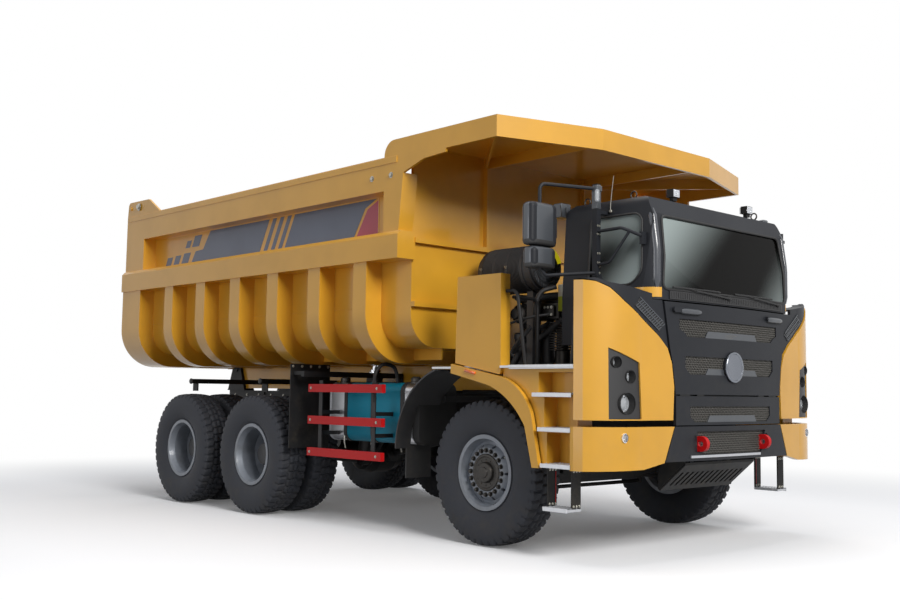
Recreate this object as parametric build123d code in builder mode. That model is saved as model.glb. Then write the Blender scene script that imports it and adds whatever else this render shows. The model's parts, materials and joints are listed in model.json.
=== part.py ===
"""Wide-body mining dump truck, 6x4, with a centre cab and a U-shaped tipping bed.

Millimetres. X points forward, Y to the truck's left and Z up. The origin lies on the
ground under the middle of the truck, halfway between its tow eyes and its tailgate.
"""
from build123d import *
from math import asin, atan2, cos, degrees, hypot, pi, radians, sin, sqrt
import os

os.makedirs("parts", exist_ok=True)

# ------------------------------------------------------------------ driving sizes
# wheels and axles
front_axle_x = 2560
wheelbase = 3530
bogie_spread = 1600
tyre_diameter = 1350
tyre_width = 375
rim_diameter = 635
rim_flange = 32
front_wheel_y = 1412
rear_outer_wheel_y = 1692
twin_spacing = 440
steering_lock = 32
kingpin_y = 1205
# frame
rail_y = 460
rail_width = 90
rail_bottom_z = 1000
rail_height = 400
rail_tail = 220
frame_setback = 270
# bed
bed_rear_x = -4070
bed_front_x = 1700
bed_plate = 30
bed_side_y = 1780
bed_floor_z = 1850
bed_corner_radius = 330
belt_bottom_z = 2705
belt_height = 275
belt_side_y = 2000
rail_top_z = 3735
top_rail_height = 340
top_rail_y = 1956
rib_depth = 200
rib_drop = 150
rib_width = 213
rib_pitch = 790
rib_count = 6
first_rib_x = -2790
post_length = 500
canopy_top_z = rail_top_z + 160
post_top_z = canopy_top_z - 348
canopy_lip = 200
canopy_corner = (3073, 1956)
canopy_nose = (3409, 874)
# pivots of the bed and its tailgate
pivot_x = bed_rear_x + 530
pivot_z = 1700
pivot_pin_radius = 45
gate_pin_x = bed_rear_x + 95
gate_pin_z = rail_top_z + 110
# cab and fascia
cab_rear_x = 3130
cab_half_width = 1130
cab_floor_z = 1860
cab_wall = 55
roof_z = 3170
fascia_front_x = 4230
fascia_side_y = 1790
fascia_depth = 390
fascia_sheet = 30
fairing_bottom_z = 1195
bumper_top_z = 1140
bumper_bottom_z = 775
platform_z = 1655
seam = 10

# places that follow from them
frame_front_x = fascia_front_x - frame_setback
fascia_rear_x = fascia_front_x - fascia_depth
frame_rear_x = pivot_x - rail_tail
wheel_z = tyre_diameter / 2
mid_axle_x = front_axle_x - wheelbase
rear_axle_x = mid_axle_x - bogie_spread
rear_inner_wheel_y = rear_outer_wheel_y - twin_spacing
rail_top = rail_bottom_z + rail_height
belt_top_z = belt_bottom_z + belt_height
bogie_x = (mid_axle_x + rear_axle_x) / 2

sides = (("left", 1), ("right", -1))


# ------------------------------------------------------------------ shaping helpers
def block(x, y, z, mode=Mode.ADD):
    """A box between two places on each axis."""
    with Locations(((x[0] + x[1]) / 2, (y[0] + y[1]) / 2, (z[0] + z[1]) / 2)):
        Box(abs(x[1] - x[0]), abs(y[1] - y[0]), abs(z[1] - z[0]), mode=mode)


def side_prism(points, y, mode=Mode.ADD):
    """An outline of (x, z) points seen from the side, between two places across the truck."""
    with BuildSketch(Plane.XZ.offset(-y[0])) as outline:
        with BuildLine():
            Polyline(*points, close=True)
        make_face()
    extrude(outline.sketch, amount=y[0] - y[1], mode=mode)


def front_prism(points, x, mode=Mode.ADD):
    """An outline of (y, z) points seen from the front, between two places along the truck."""
    with BuildSketch(Plane.YZ.offset(x[0])) as outline:
        with BuildLine():
            Polyline(*points, close=True)
        make_face()
    extrude(outline.sketch, amount=x[1] - x[0], mode=mode)


def plan_prism(points, z, mode=Mode.ADD):
    """An outline of (x, y) points seen from above, between two heights."""
    with BuildSketch(Plane.XY.offset(z[0])) as outline:
        with BuildLine():
            Polyline(*points, close=True)
        make_face()
    extrude(outline.sketch, amount=z[1] - z[0], mode=mode)


def drum(x, z, radius, y, mode=Mode.ADD):
    """A round bar across the truck."""
    with BuildSketch(Plane.XZ.offset(-y[0])) as outline:
        with Locations((x, z)):
            Circle(radius)
    extrude(outline.sketch, amount=y[0] - y[1], mode=mode)


def bar_along(y, z, radius, x, mode=Mode.ADD):
    """A round bar along the truck."""
    with BuildSketch(Plane.YZ.offset(x[0])) as outline:
        with Locations((y, z)):
            Circle(radius)
    extrude(outline.sketch, amount=x[1] - x[0], mode=mode)


def post(x, y, radius, z, mode=Mode.ADD):
    """A round bar standing up."""
    with BuildSketch(Plane.XY.offset(z[0])) as outline:
        with Locations((x, y)):
            Circle(radius)
    extrude(outline.sketch, amount=z[1] - z[0], mode=mode)


def tube(points, radius, bend):
    """A round bar along straight runs joined by arcs."""
    with BuildLine() as path:
        FilletPolyline(*points, radius=bend)
    with BuildSketch(Plane(origin=path.line @ 0, z_dir=path.line % 0)) as section:
        Circle(radius)
    sweep(section.sketch, path=path.line)


def turned(outline, x, z=wheel_z):
    """A (y, radius) outline turned about a wheel's axle."""
    with BuildSketch(Plane.YZ.offset(x)) as section:
        with BuildLine():
            Polyline(*[(y, z + radius) for y, radius in outline], close=True)
        make_face()
    revolve(section.sketch, axis=Axis((x, 0, z), (0, 1, 0)))


# ------------------------------------------------------------------ wheels
bead_radius = rim_diameter / 2
bead_half = 0.36 * tyre_width
flange_radius = bead_radius + rim_flange
tread_radius = tyre_diameter / 2


def tyre(x, y):
    """A tyre ring: upright beads, bulging walls, bevelled shoulders and a crowned tread."""
    wall_half = tyre_width / 2
    shoulder_half = 0.465 * tyre_width
    tread_half = 0.42 * tyre_width
    bead_top = flange_radius + 6
    wall_low = (0.41 * tyre_width, bead_top + 12)
    wall_mid = (wall_half, (bead_top + tread_radius) / 2 - 20)
    wall_high = (shoulder_half, tread_radius - 55)
    with BuildSketch(Plane.YZ.offset(x)) as section:
        with BuildLine():
            for side in (1, -1):
                Polyline((y + side * bead_half, wheel_z + bead_radius),
                         (y + side * bead_half, wheel_z + bead_top),
                         (y + side * wall_low[0], wheel_z + wall_low[1]))
                ThreePointArc(*[(y + side * u, wheel_z + r) for u, r in (wall_low, wall_mid, wall_high)])
                Line((y + side * shoulder_half, wheel_z + wall_high[1]),
                     (y + side * tread_half, wheel_z + tread_radius - 12))
            ThreePointArc((y - tread_half, wheel_z + tread_radius - 12), (y, wheel_z + tread_radius),
                          (y + tread_half, wheel_z + tread_radius - 12))
            Line((y - bead_half, wheel_z + bead_radius), (y + bead_half, wheel_z + bead_radius))
        make_face()
    revolve(section.sketch, axis=Axis((x, 0, wheel_z), (0, 1, 0)))


barrel_wall = 14
flange_half = bead_half + 15


def rim_barrel(x, y):
    """The rim's barrel with its two flanges."""
    turned([(y - flange_half, flange_radius), (y - bead_half, flange_radius),
            (y - bead_half, bead_radius), (y + bead_half, bead_radius),
            (y + bead_half, flange_radius), (y + flange_half, flange_radius),
            (y + flange_half, bead_radius - 4), (y + 0.6 * bead_half, bead_radius - barrel_wall - 12),
            (y - 0.6 * bead_half, bead_radius - barrel_wall - 12), (y - flange_half, bead_radius - 4)], x)


hub_radius = 118
disc_plate = 26
hand_hole_radius = 21
hand_hole_circle = 232

for axle, axle_x in (("mid", mid_axle_x), ("rear", rear_axle_x)):
    for side_name, side in sides:
        outer_y, inner_y = side * rear_outer_wheel_y, side * rear_inner_wheel_y
        joint_y = (outer_y + inner_y) / 2
        with BuildPart() as twin_tyres:
            tyre(axle_x, outer_y)
            tyre(axle_x, inner_y)
        twin_tyres.part.label = f"tyres_{axle}_{side_name}"
        export_step(twin_tyres.part, f"parts/tyres_{axle}_{side_name}.step")

        with BuildPart() as twin_rims:
            for y, lean in ((outer_y, side), (inner_y, -side)):
                rim_barrel(axle_x, y)
                foot = y - lean * 0.6 * bead_half
                turned([(foot - lean * 30, bead_radius - 8), (foot + lean * 30, bead_radius - 8),
                        (joint_y + lean * 50, 265), (joint_y + lean * disc_plate, 240),
                        (joint_y + lean * disc_plate, hub_radius), (joint_y, hub_radius), (joint_y, 246)],
                       axle_x)
            with BuildSketch(Plane.XZ.offset(-joint_y)) as hand_holes:
                with Locations((axle_x, wheel_z)):
                    with PolarLocations(205, 8):
                        Circle(hand_hole_radius)
            extrude(hand_holes.sketch, amount=2 * disc_plate, both=True, mode=Mode.SUBTRACT)
            turned([(joint_y - side * 190, 0), (joint_y - side * 190, hub_radius), (joint_y, hub_radius),
                    (joint_y + side * disc_plate, hub_radius), (joint_y + side * disc_plate, 200),
                    (joint_y + side * (disc_plate + 16), 200), (joint_y + side * (disc_plate + 30), 165),
                    (joint_y + side * 150, 150), (joint_y + side * 175, 128), (joint_y + side * 205, 118),
                    (joint_y + side * 218, 0)], axle_x)
        twin_rims.part.label = f"rims_{axle}_{side_name}"
        export_step(twin_rims.part, f"parts/rims_{axle}_{side_name}.step")

front_disc_y = 96
for side_name, side in sides:
    wheel_y = side * front_wheel_y
    with BuildPart() as front_tyre:
        tyre(front_axle_x, wheel_y)
    front_tyre.part.label = f"tyre_front_{side_name}"
    export_step(front_tyre.part, f"parts/tyre_front_{side_name}.step")

    with BuildPart() as front_rim:
        rim_barrel(front_axle_x, wheel_y)
        face_y = wheel_y + side * front_disc_y
        turned([(wheel_y + side * 10, bead_radius - 8), (wheel_y + side * 62, bead_radius - 8),
                (face_y - side * 14, 262), (face_y + side * disc_plate, 226),
                (face_y + side * disc_plate, hub_radius), (face_y, hub_radius), (face_y, 214)],
               front_axle_x)
        with BuildSketch(Plane.XZ.offset(-face_y)) as hand_holes:
            with Locations((front_axle_x, wheel_z)):
                with PolarLocations(hand_hole_circle + 14, 10):
                    Circle(hand_hole_radius - 6)
        extrude(hand_holes.sketch, amount=3 * disc_plate, both=True, mode=Mode.SUBTRACT)
        turned([(wheel_y - side * 20, 62), (wheel_y - side * 20, 150), (wheel_y + side * 40, hub_radius),
                (face_y + side * disc_plate, hub_radius), (face_y + side * (disc_plate + 2), 96),
                (face_y + side * (disc_plate - 24), 88), (face_y + side * (disc_plate - 24), 70),
                (face_y + side * (disc_plate + 14), 58), (face_y + side * (disc_plate + 14), 0),
                (face_y - side * 20, 0), (face_y - side * 20, 62)], front_axle_x)
    front_rim.part.label = f"rim_front_{side_name}"
    export_step(front_rim.part, f"parts/rim_front_{side_name}.step")

# ------------------------------------------------------------------ steering and front axle
running_gap = 6
axle_z = wheel_z - 20
kingpin_radius = 68
axle_eye_half = 85
fork_thick = 55
arm_x = front_axle_x - 260
arm_y = kingpin_y - 90
fork_low = axle_z - axle_eye_half - running_gap - fork_thick

for side_name, side in sides:
    with BuildPart() as knuckle:
        for low, high in ((fork_low, fork_low + fork_thick),
                          (axle_z + axle_eye_half + running_gap,
                           axle_z + axle_eye_half + running_gap + fork_thick)):
            post(front_axle_x, side * kingpin_y, kingpin_radius, (low, high))
            block((front_axle_x - 50, front_axle_x + 50),
                  (side * kingpin_y, side * (kingpin_y + 105)), (low, high))
        block((front_axle_x - 75, front_axle_x + 75),
              (side * (kingpin_y + kingpin_radius + running_gap), side * (kingpin_y + 115)),
              (fork_low, axle_z + axle_eye_half + running_gap + fork_thick))
        turned([(side * (kingpin_y + 115), 0), (side * (kingpin_y + 115), 95),
                (side * (kingpin_y + 150), 75), (side * (front_wheel_y - 26), 56),
                (side * (front_wheel_y + 65), 56), (side * (front_wheel_y + 65), 0)], front_axle_x)
        plan_prism([(front_axle_x + 10, side * (kingpin_y + 40)),
                    (front_axle_x + 10, side * (kingpin_y - 40)),
                    (arm_x + 30, side * (arm_y - 34)), (arm_x - 30, side * (arm_y - 34)),
                    (arm_x - 30, side * (arm_y + 34))], (fork_low, fork_low + 30))
    knuckle.part.label = f"knuckle_{side_name}"
    export_step(knuckle.part, f"parts/knuckle_{side_name}.step")

tie_rod_z = fork_low - running_gap - 42
with BuildPart() as tie_rod:
    drum(arm_x, tie_rod_z, 20, (-arm_y, arm_y))
    for side_name, side in sides:
        post(arm_x, side * arm_y, 30, (tie_rod_z - 22, fork_low - running_gap))
tie_rod.part.label = "tie_rod"
export_step(tie_rod.part, "parts/tie_rod.step")

# ------------------------------------------------------------------ frame and its axles
rail_web = 18
hoist_y = 700
hoist_eye_x = -130
hoist_eye_z = 1760
hoist_base_z = 600
hoist_radius = hypot(hoist_eye_x - pivot_x, hoist_eye_z - pivot_z)
hoist_base_x = pivot_x + sqrt(hoist_radius ** 2 - (pivot_z - hoist_base_z) ** 2)
ear_outer = 75
ear_inner = 46
eye_half = 40
bracket_plate = 36
bracket_gap = 8
runner_y = (378, 450)
with BuildPart() as frame:
    channel = [(rail_y, rail_bottom_z), (rail_y, rail_top), (rail_y - rail_width, rail_top),
               (rail_y - rail_width, rail_top - rail_web), (rail_y - rail_web, rail_top - rail_web),
               (rail_y - rail_web, rail_bottom_z + rail_web),
               (rail_y - rail_width, rail_bottom_z + rail_web),
               (rail_y - rail_width, rail_bottom_z)]
    front_prism(channel, (frame_rear_x, frame_front_x))
    # saddle and ears that carry the bed's pivot pin
    ear_y = ((runner_y[0] - bracket_gap - bracket_plate, runner_y[0] - bracket_gap),
             (runner_y[1] + bracket_gap, runner_y[1] + bracket_gap + bracket_plate))
    block((pivot_x - 220, pivot_x + 220), (ear_y[0][0], ear_y[1][1]), (rail_top, rail_top + 16))
    for ear in ear_y:
        side_prism([(pivot_x - 210, rail_top + 16), (pivot_x - 105, pivot_z), (pivot_x + 105, pivot_z),
                    (pivot_x + 210, rail_top + 16)], ear)
        drum(pivot_x, pivot_z, 105, ear)
    drum(pivot_x, pivot_z, pivot_pin_radius, (ear_y[0][0] - 12, ear_y[1][1] + 12))
    # outriggers that carry the hoists' feet
    for ear in ((hoist_y - ear_outer, hoist_y - ear_inner), (hoist_y + ear_inner, hoist_y + ear_outer)):
        side_prism([(hoist_base_x - 50, hoist_base_z + 20), (hoist_base_x - 50, hoist_base_z - 40),
                    (hoist_base_x + 20, hoist_base_z - 58), (100, 1000), (150, 1080), (150, 1250), (0, 1250),
                    (0, 1050), (hoist_base_x + 190, 780), (hoist_base_x + 50, hoist_base_z + 20)], ear)
    block((0, 150), (rail_y, hoist_y + ear_outer), (1060, 1250))
    drum(hoist_base_x, hoist_base_z, 30, (hoist_y - ear_outer - 10, hoist_y + ear_outer + 10))
    mirror(about=Plane.XZ)
    # cross tubes and the closing beams at both ends
    for cross_x, radius in ((-3250, 70), (bogie_x, 85), (-400, 70), (900, 70)):
        drum(cross_x, rail_bottom_z + rail_height / 2, radius, (-(rail_y - rail_web), rail_y - rail_web))
    for low_x, high_x in ((frame_rear_x, frame_rear_x + 90), (frame_front_x - 90, frame_front_x)):
        block((low_x, high_x), (-(rail_y - rail_web), rail_y - rail_web),
              (rail_bottom_z + rail_web, rail_top - rail_web))
frame.part.label = "frame"
export_step(frame.part, "parts/frame.step")


def leaf_pack(x, y, half_span, count, leaf, width, camber, top_z, up):
    """A stack of bent leaves, the longest against the frame for up = 1, or lowest for up = -1."""
    radius = (half_span ** 2 + camber ** 2) / (2 * camber)
    for number in range(count):
        inner = radius + number * leaf
        half_angle = asin(half_span * (1 - 0.13 * number) / inner)
        low = [(inner + leaf, half_angle), (inner + leaf, 0), (inner + leaf, -half_angle)]
        high = [(inner, -half_angle), (inner, 0), (inner, half_angle)]
        centre_z = top_z + up * radius
        with BuildSketch(Plane.XZ.offset(-(y - width / 2))) as leaf_side:
            with BuildLine():
                low_points = [(x + r * sin(a), centre_z - up * r * cos(a)) for r, a in low]
                high_points = [(x + r * sin(a), centre_z - up * r * cos(a)) for r, a in high]
                ThreePointArc(*low_points)
                Line(low_points[2], high_points[0])
                ThreePointArc(*high_points)
                Line(high_points[2], low_points[0])
            make_face()
        extrude(leaf_side.sketch, amount=-width)


spring_y = 505
bogie_leaf = 26
bogie_leaf_count = 6
housing_radius = 115
bogie_seat_z = wheel_z + housing_radius
front_leaf = 20
front_leaf_count = 5
spring_seat_z = axle_z + 60
with BuildPart() as leaf_springs:
    leaf_pack(front_axle_x, spring_y, 720, front_leaf_count, front_leaf, 90, 110,
              spring_seat_z + front_leaf * front_leaf_count, 1)
    eye_z = spring_seat_z + front_leaf * front_leaf_count + 110
    for end in (-1, 1):
        drum(front_axle_x + end * 735, eye_z - 20, 38, (spring_y - 45, spring_y + 45))
        side_prism([(front_axle_x + end * 775, eye_z - 20), (front_axle_x + end * 695, eye_z - 20),
                    (front_axle_x + end * 660, rail_bottom_z + 120),
                    (front_axle_x + end * 810, rail_bottom_z + 120)], (rail_y, rail_y + 30))
    leaf_pack(bogie_x, 560, bogie_spread / 2 + 60, bogie_leaf_count, bogie_leaf, 110, 90,
              bogie_seat_z + 60 + 90 + bogie_leaf * bogie_leaf_count, -1)
    drum(bogie_x, wheel_z + 60, 95, (rail_y, 640))
    side_prism([(bogie_x - 230, rail_bottom_z + 260), (bogie_x + 230, rail_bottom_z + 260),
                (bogie_x + 120, wheel_z + 60), (bogie_x - 120, wheel_z + 60)], (rail_y, rail_y + 40))
    mirror(about=Plane.XZ)
leaf_springs.part.label = "leaf_springs"
export_step(leaf_springs.part, "parts/leaf_springs.step")

hub_back_y = (rear_outer_wheel_y + rear_inner_wheel_y) / 2 - 190 - running_gap
with BuildPart() as axles:
    for axle_x in (mid_axle_x, rear_axle_x):
        turned([(-hub_back_y, 0), (-hub_back_y, 100), (-620, housing_radius), (-330, 150), (-250, 235),
                (-120, 275), (120, 275), (250, 235), (330, 150), (620, housing_radius),
                (hub_back_y, 100), (hub_back_y, 0)], axle_x)
        bar_along(0, wheel_z, 120, (axle_x, axle_x + 360))
    beam = [(0, axle_z - 125), (620, axle_z - 125), (1010, axle_z - 60), (kingpin_y, axle_z - 60),
            (kingpin_y, axle_z + 60), (1010, axle_z + 60), (620, axle_z - 25), (0, axle_z - 25)]
    front_prism(beam, (front_axle_x - 55, front_axle_x + 55))
    post(front_axle_x, kingpin_y, kingpin_radius, (axle_z - axle_eye_half, axle_z + axle_eye_half))
    block((front_axle_x - 95, front_axle_x + 95), (505 - 60, 505 + 60), (axle_z - 25, axle_z + 60))
    mirror(about=Plane.XZ)
axles.part.label = "axles"
export_step(axles.part, "parts/axles.step")

with BuildPart() as prop_shafts:
    bar_along(0, wheel_z, 52, (rear_axle_x + 360, mid_axle_x - 275))
    with BuildLine() as shaft_line:
        Line((mid_axle_x + 385, 0, wheel_z + 3), (1180, 0, rail_bottom_z + 40))
    with BuildSketch(Plane(origin=shaft_line.line @ 0, z_dir=shaft_line.line % 0)) as shaft_section:
        Circle(58)
    sweep(shaft_section.sketch, path=shaft_line.line)
prop_shafts.part.label = "prop_shafts"
export_step(prop_shafts.part, "parts/prop_shafts.step")

# ------------------------------------------------------------------ engine and its helpers
engine_x = (2330, 3080)
engine_top_z = 1820
with BuildPart() as engine:
    block(engine_x, (-330, 330), (880, 1560))
    block((engine_x[0] + 50, engine_x[1] - 20), (-250, 250), (1560, engine_top_z - 60))
    # rocker covers in a row, manifold, sump and gearbox
    for number in range(6):
        cover_x = engine_x[0] + 110 + number * 115
        block((cover_x - 48, cover_x + 48), (-190, 190), (engine_top_z - 60, engine_top_z))
    bar_along(-370, 1640, 55, (engine_x[0] + 90, engine_x[1] - 80))
    for number in range(6):
        port_x = engine_x[0] + 120 + number * 108
        block((port_x - 26, port_x + 26), (-360, -240), (1615, 1665))
    block((engine_x[0] + 90, engine_x[1] - 160), (-240, 240), (800, 880))
    block((1200, 2080), (-260, 260), (930, 1390))
    block((2080, engine_x[0]), (-230, 230), (960, 1360))
    # radiator on the rails behind the nose
    block((frame_front_x - 80, frame_front_x), (-560, 560), (rail_top, cab_floor_z - 25))
    block((frame_front_x - 190, frame_front_x - 80), (-420, 420), (rail_top + 40, cab_floor_z - 60))
    fan_z = (rail_top + cab_floor_z) / 2 - 20
    bar_along(0, fan_z, 185, (frame_front_x - 192, frame_front_x - 78), Mode.SUBTRACT)
    bar_along(0, fan_z, 55, (frame_front_x - 185, frame_front_x - 60))
engine.part.label = "engine"
export_step(engine.part, "parts/engine.step")

cleaner_y = -900
cleaner_z = 2630
cleaner_radius = 230
with BuildPart() as air_cleaner:
    # start, stop and radius of the drum's parts: back cap, body, its bands, front cap
    turned_parts = ((1960, 2010, 190), (2010, 2600, cleaner_radius - 8), (2030, 2062, cleaner_radius),
                    (2200, 2226, cleaner_radius), (2380, 2406, cleaner_radius), (2560, 2600, cleaner_radius),
                    (2600, 2690, 222), (2690, 2730, 205))
    for start, stop, radius in turned_parts:
        bar_along(cleaner_y, cleaner_z, radius, (start, stop))
    bar_along(cleaner_y, cleaner_z, 150, (2712, 2735), Mode.SUBTRACT)
    bar_along(cleaner_y, cleaner_z, 52, (2700, 2730))
    # intake box above the drum and the duct that leaves its back cap
    post(2500, cleaner_y + 150, 70, (cleaner_z + 140, cleaner_z + 330))
    block((2415, 2625), (cleaner_y + 40, cleaner_y + 260), (cleaner_z + 330, cleaner_z + 560))
    tube([(1975, cleaner_y, cleaner_z), (1880, cleaner_y, cleaner_z), (1880, cleaner_y, 2000),
          (1880, -420, 1700), (2340, -420, 1700)], 62, 85)
    block((2080, 2160), (cleaner_y - 60, cleaner_y + 60), (platform_z + 20, cleaner_z - cleaner_radius + 12))
    block((2520, 2600), (cleaner_y - 60, cleaner_y + 60), (platform_z + 20, cleaner_z - cleaner_radius + 12))
air_cleaner.part.label = "air_cleaner"
export_step(air_cleaner.part, "parts/air_cleaner.step")

with BuildPart() as coolant_bottle:
    block((2960, 3040), (cleaner_y - 110, cleaner_y + 60), (2190, 2440))
    fillet(coolant_bottle.edges().filter_by(Axis.Z), 24)
    post(3000, cleaner_y - 25, 34, (2440, 2480))
coolant_bottle.part.label = "coolant_bottle"
export_step(coolant_bottle.part, "parts/coolant_bottle.step")

# ------------------------------------------------------------------ cab
windshield_base = (4230, 2300)
windshield_top = (4130, 3000)
roof_front = (4060, 3150)
cowl_z = 2235
fire_wall_x = 4115


def cab_solid(inset):
    """The cab's outside, or its inside when inset by the wall."""
    with BuildPart() as solid:
        side_prism([(cab_rear_x + inset, cab_floor_z + inset), (fire_wall_x - inset, cab_floor_z + inset),
                    (fire_wall_x - inset, cowl_z + inset), (windshield_base[0] - inset, cowl_z + inset),
                    (windshield_base[0] - inset, windshield_base[1]),
                    (windshield_top[0] - inset, windshield_top[1]),
                    (roof_front[0] - inset, roof_front[1] - inset),
                    (roof_front[0] - 90 - inset, roof_z - inset), (cab_rear_x + 90 + inset, roof_z - inset),
                    (cab_rear_x + inset, roof_z - 70 - inset)],
                   (-cab_half_width, cab_half_width))
        with BuildSketch(Plane.XY.offset(cab_floor_z)) as plan:
            half = cab_half_width - inset
            nose_x = windshield_base[0] - inset
            with BuildLine():
                Polyline((nose_x - 250, half), (cab_rear_x + inset, half), (cab_rear_x + inset, -half),
                         (nose_x - 250, -half))
                ThreePointArc((nose_x - 250, -half), (nose_x - 140, -half + 18), (nose_x - 50, -half + 100))
                ThreePointArc((nose_x - 50, -half + 100), (nose_x, 0), (nose_x - 50, half - 100))
                ThreePointArc((nose_x - 50, half - 100), (nose_x - 140, half - 18), (nose_x - 250, half))
            make_face()
        extrude(plan.sketch, amount=roof_z - cab_floor_z, mode=Mode.INTERSECT)
        with BuildSketch(Plane.YZ.offset(cab_rear_x)) as front_view:
            half_top = cab_half_width - 60 - inset
            with BuildLine():
                lines = Polyline((-half, cab_floor_z), (-half, windshield_base[1]),
                                 (-half_top, roof_z - inset), (half_top, roof_z - inset),
                                 (half, windshield_base[1]), (half, cab_floor_z),
                                 close=True)
            make_face()
            fillet(front_view.vertices().sort_by(Axis.Y)[-2:], max(90 - inset, 20))
        extrude(front_view.sketch, amount=windshield_base[0] - cab_rear_x, mode=Mode.INTERSECT)
    return solid.part


side_window = [(3440, 2375), (3930, 2375), (4040, 2480), (4020, 2960), (3960, 3010), (3440, 3010)]
windshield = [(-1010, 2330), (1010, 2330), (965, 2985), (-965, 2985)]
rear_window = [(-620, 2420), (620, 2420), (620, 2950), (-620, 2950)]
door_bottom_z = cab_floor_z + cab_wall + 5
door_outline = [(3330, door_bottom_z), (3780, door_bottom_z), (3780, 2330), (4078, 2330), (4062, 3075),
                (3330, 3075)]
window_corner = 60
glass_sheet = 8


def rounded_side_prism(points, y, radius, mode=Mode.ADD):
    """A side outline with its corners rounded, between two places across the truck."""
    with BuildSketch(Plane.XZ.offset(-y[0])) as outline:
        with BuildLine():
            Polyline(*points, close=True)
        make_face()
        fillet(outline.vertices(), radius)
    extrude(outline.sketch, amount=y[0] - y[1], mode=mode)


def rounded_front_prism(points, x, radius, mode=Mode.ADD):
    """A front outline with its corners rounded, between two places along the truck."""
    with BuildSketch(Plane.YZ.offset(x[0])) as outline:
        with BuildLine():
            Polyline(*points, close=True)
        make_face()
        fillet(outline.vertices(), radius)
    extrude(outline.sketch, amount=x[1] - x[0], mode=mode)


def shrunk(points, gap):
    """The same outline drawn in by a gap, about its middle."""
    middle_a = (min(a for a, b in points) + max(a for a, b in points)) / 2
    middle_b = (min(b for a, b in points) + max(b for a, b in points)) / 2
    half_a = max(a for a, b in points) - middle_a
    half_b = max(b for a, b in points) - middle_b
    return [(middle_a + (a - middle_a) * (1 - gap / half_a), middle_b + (b - middle_b) * (1 - gap / half_b))
            for a, b in points]


door_hinge_x = 4088
door_hinge_y = cab_half_width + 7
door_hinge_radius = 14
door_knuckle = 70
cab_knuckle = 30
knuckle_gap = 3
# z of each door knuckle's bottom, y of the skin that carries it, way to the cab's knuckle
door_hinges = ((2345, 1085, 1), (2985, 1050, -1))

cab_outside = cab_solid(0)
cab_inside = cab_solid(cab_wall)
right_span = (-cab_half_width - 20, -cab_half_width + 160)
left_span = (cab_half_width - 160, cab_half_width + 20)
front_span = (windshield_top[0] - 160, windshield_base[0] + 20)
rear_span = (cab_rear_x - 10, cab_rear_x + cab_wall + 10)

with BuildPart() as cab_shell:
    add(cab_outside)
    add(cab_inside, mode=Mode.SUBTRACT)
    rounded_side_prism(side_window, right_span, window_corner, Mode.SUBTRACT)
    side_prism(door_outline, left_span, Mode.SUBTRACT)
    rounded_front_prism(windshield, front_span, window_corner, Mode.SUBTRACT)
    rounded_front_prism(rear_window, rear_span, window_corner, Mode.SUBTRACT)
    for low_z, skin_y, way in door_hinges:
        cab_low = low_z + door_knuckle + knuckle_gap if way > 0 else low_z - knuckle_gap - cab_knuckle
        cab_span = (cab_low, cab_low + cab_knuckle)
        post(door_hinge_x, door_hinge_y, door_hinge_radius, cab_span)
        block((door_hinge_x, door_hinge_x + 32), (skin_y, door_hinge_y), cab_span)
cab_shell.part.label = "cab_shell"
export_step(cab_shell.part, "parts/cab_shell.step")

glass_skin_out = cab_solid(12)
glass_skin_in = cab_solid(12 + glass_sheet)


def glass_part(outlines):
    """Panes cut from one thin skin that follows the cab's wall."""
    with BuildPart() as panes:
        for shape, points, span in outlines:
            shape(points, span, window_corner)
        add(glass_skin_out, mode=Mode.INTERSECT)
        add(glass_skin_in, mode=Mode.SUBTRACT)
    return panes.part


cab_glass = glass_part(((rounded_side_prism, side_window, right_span),
                        (rounded_front_prism, windshield, front_span),
                        (rounded_front_prism, rear_window, rear_span)))
cab_glass.label = "cab_glass"
export_step(cab_glass, "parts/cab_glass.step")

with BuildPart() as door_left:
    side_prism(shrunk(door_outline, seam), left_span)
    add(cab_outside, mode=Mode.INTERSECT)
    add(cab_inside, mode=Mode.SUBTRACT)
    rounded_side_prism(side_window, left_span, window_corner, Mode.SUBTRACT)
    for low_z, skin_y, _ in door_hinges:
        knuckle_span = (low_z, low_z + door_knuckle)
        post(door_hinge_x, door_hinge_y, door_hinge_radius, knuckle_span)
        block((door_hinge_x - 80, door_hinge_x),
              (door_hinge_y - door_hinge_radius, door_hinge_y), knuckle_span)
        block((door_hinge_x - 80, door_hinge_x - 40), (skin_y, door_hinge_y), knuckle_span)
door_left.part.label = "door_left"
export_step(door_left.part, "parts/door_left.step")

door_glass_left = glass_part(((rounded_side_prism, side_window, left_span),))
door_glass_left.label = "door_glass_left"
export_step(door_glass_left, "parts/door_glass_left.step")

seat_y = 420
seat_rear_x = 3330
seat_depth = 510
seat_half_width = 260
seat_base_z = 2130
cushion_height = 120
seat_back_height = 650
seat_back_lean = 90
seat_back_depth = 130
with BuildPart() as seat:
    cushion_z = seat_base_z + cushion_height
    back_x = seat_rear_x - 80
    block((seat_rear_x, seat_rear_x + seat_depth), (seat_y - seat_half_width, seat_y + seat_half_width),
          (seat_base_z, cushion_z))
    side_prism([(back_x, cushion_z), (back_x + seat_back_depth, cushion_z),
                (back_x + seat_back_depth - seat_back_lean, cushion_z + seat_back_height),
                (back_x - 60, cushion_z + seat_back_height - 10)],
               (seat_y - seat_half_width + 20, seat_y + seat_half_width - 20))
    block((seat_rear_x + 70, seat_rear_x + seat_depth - 80),
          (seat_y - seat_half_width + 80, seat_y + seat_half_width - 80),
          (cab_floor_z + cab_wall, seat_base_z))
seat.part.label = "seat"
export_step(seat.part, "parts/seat.step")

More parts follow.
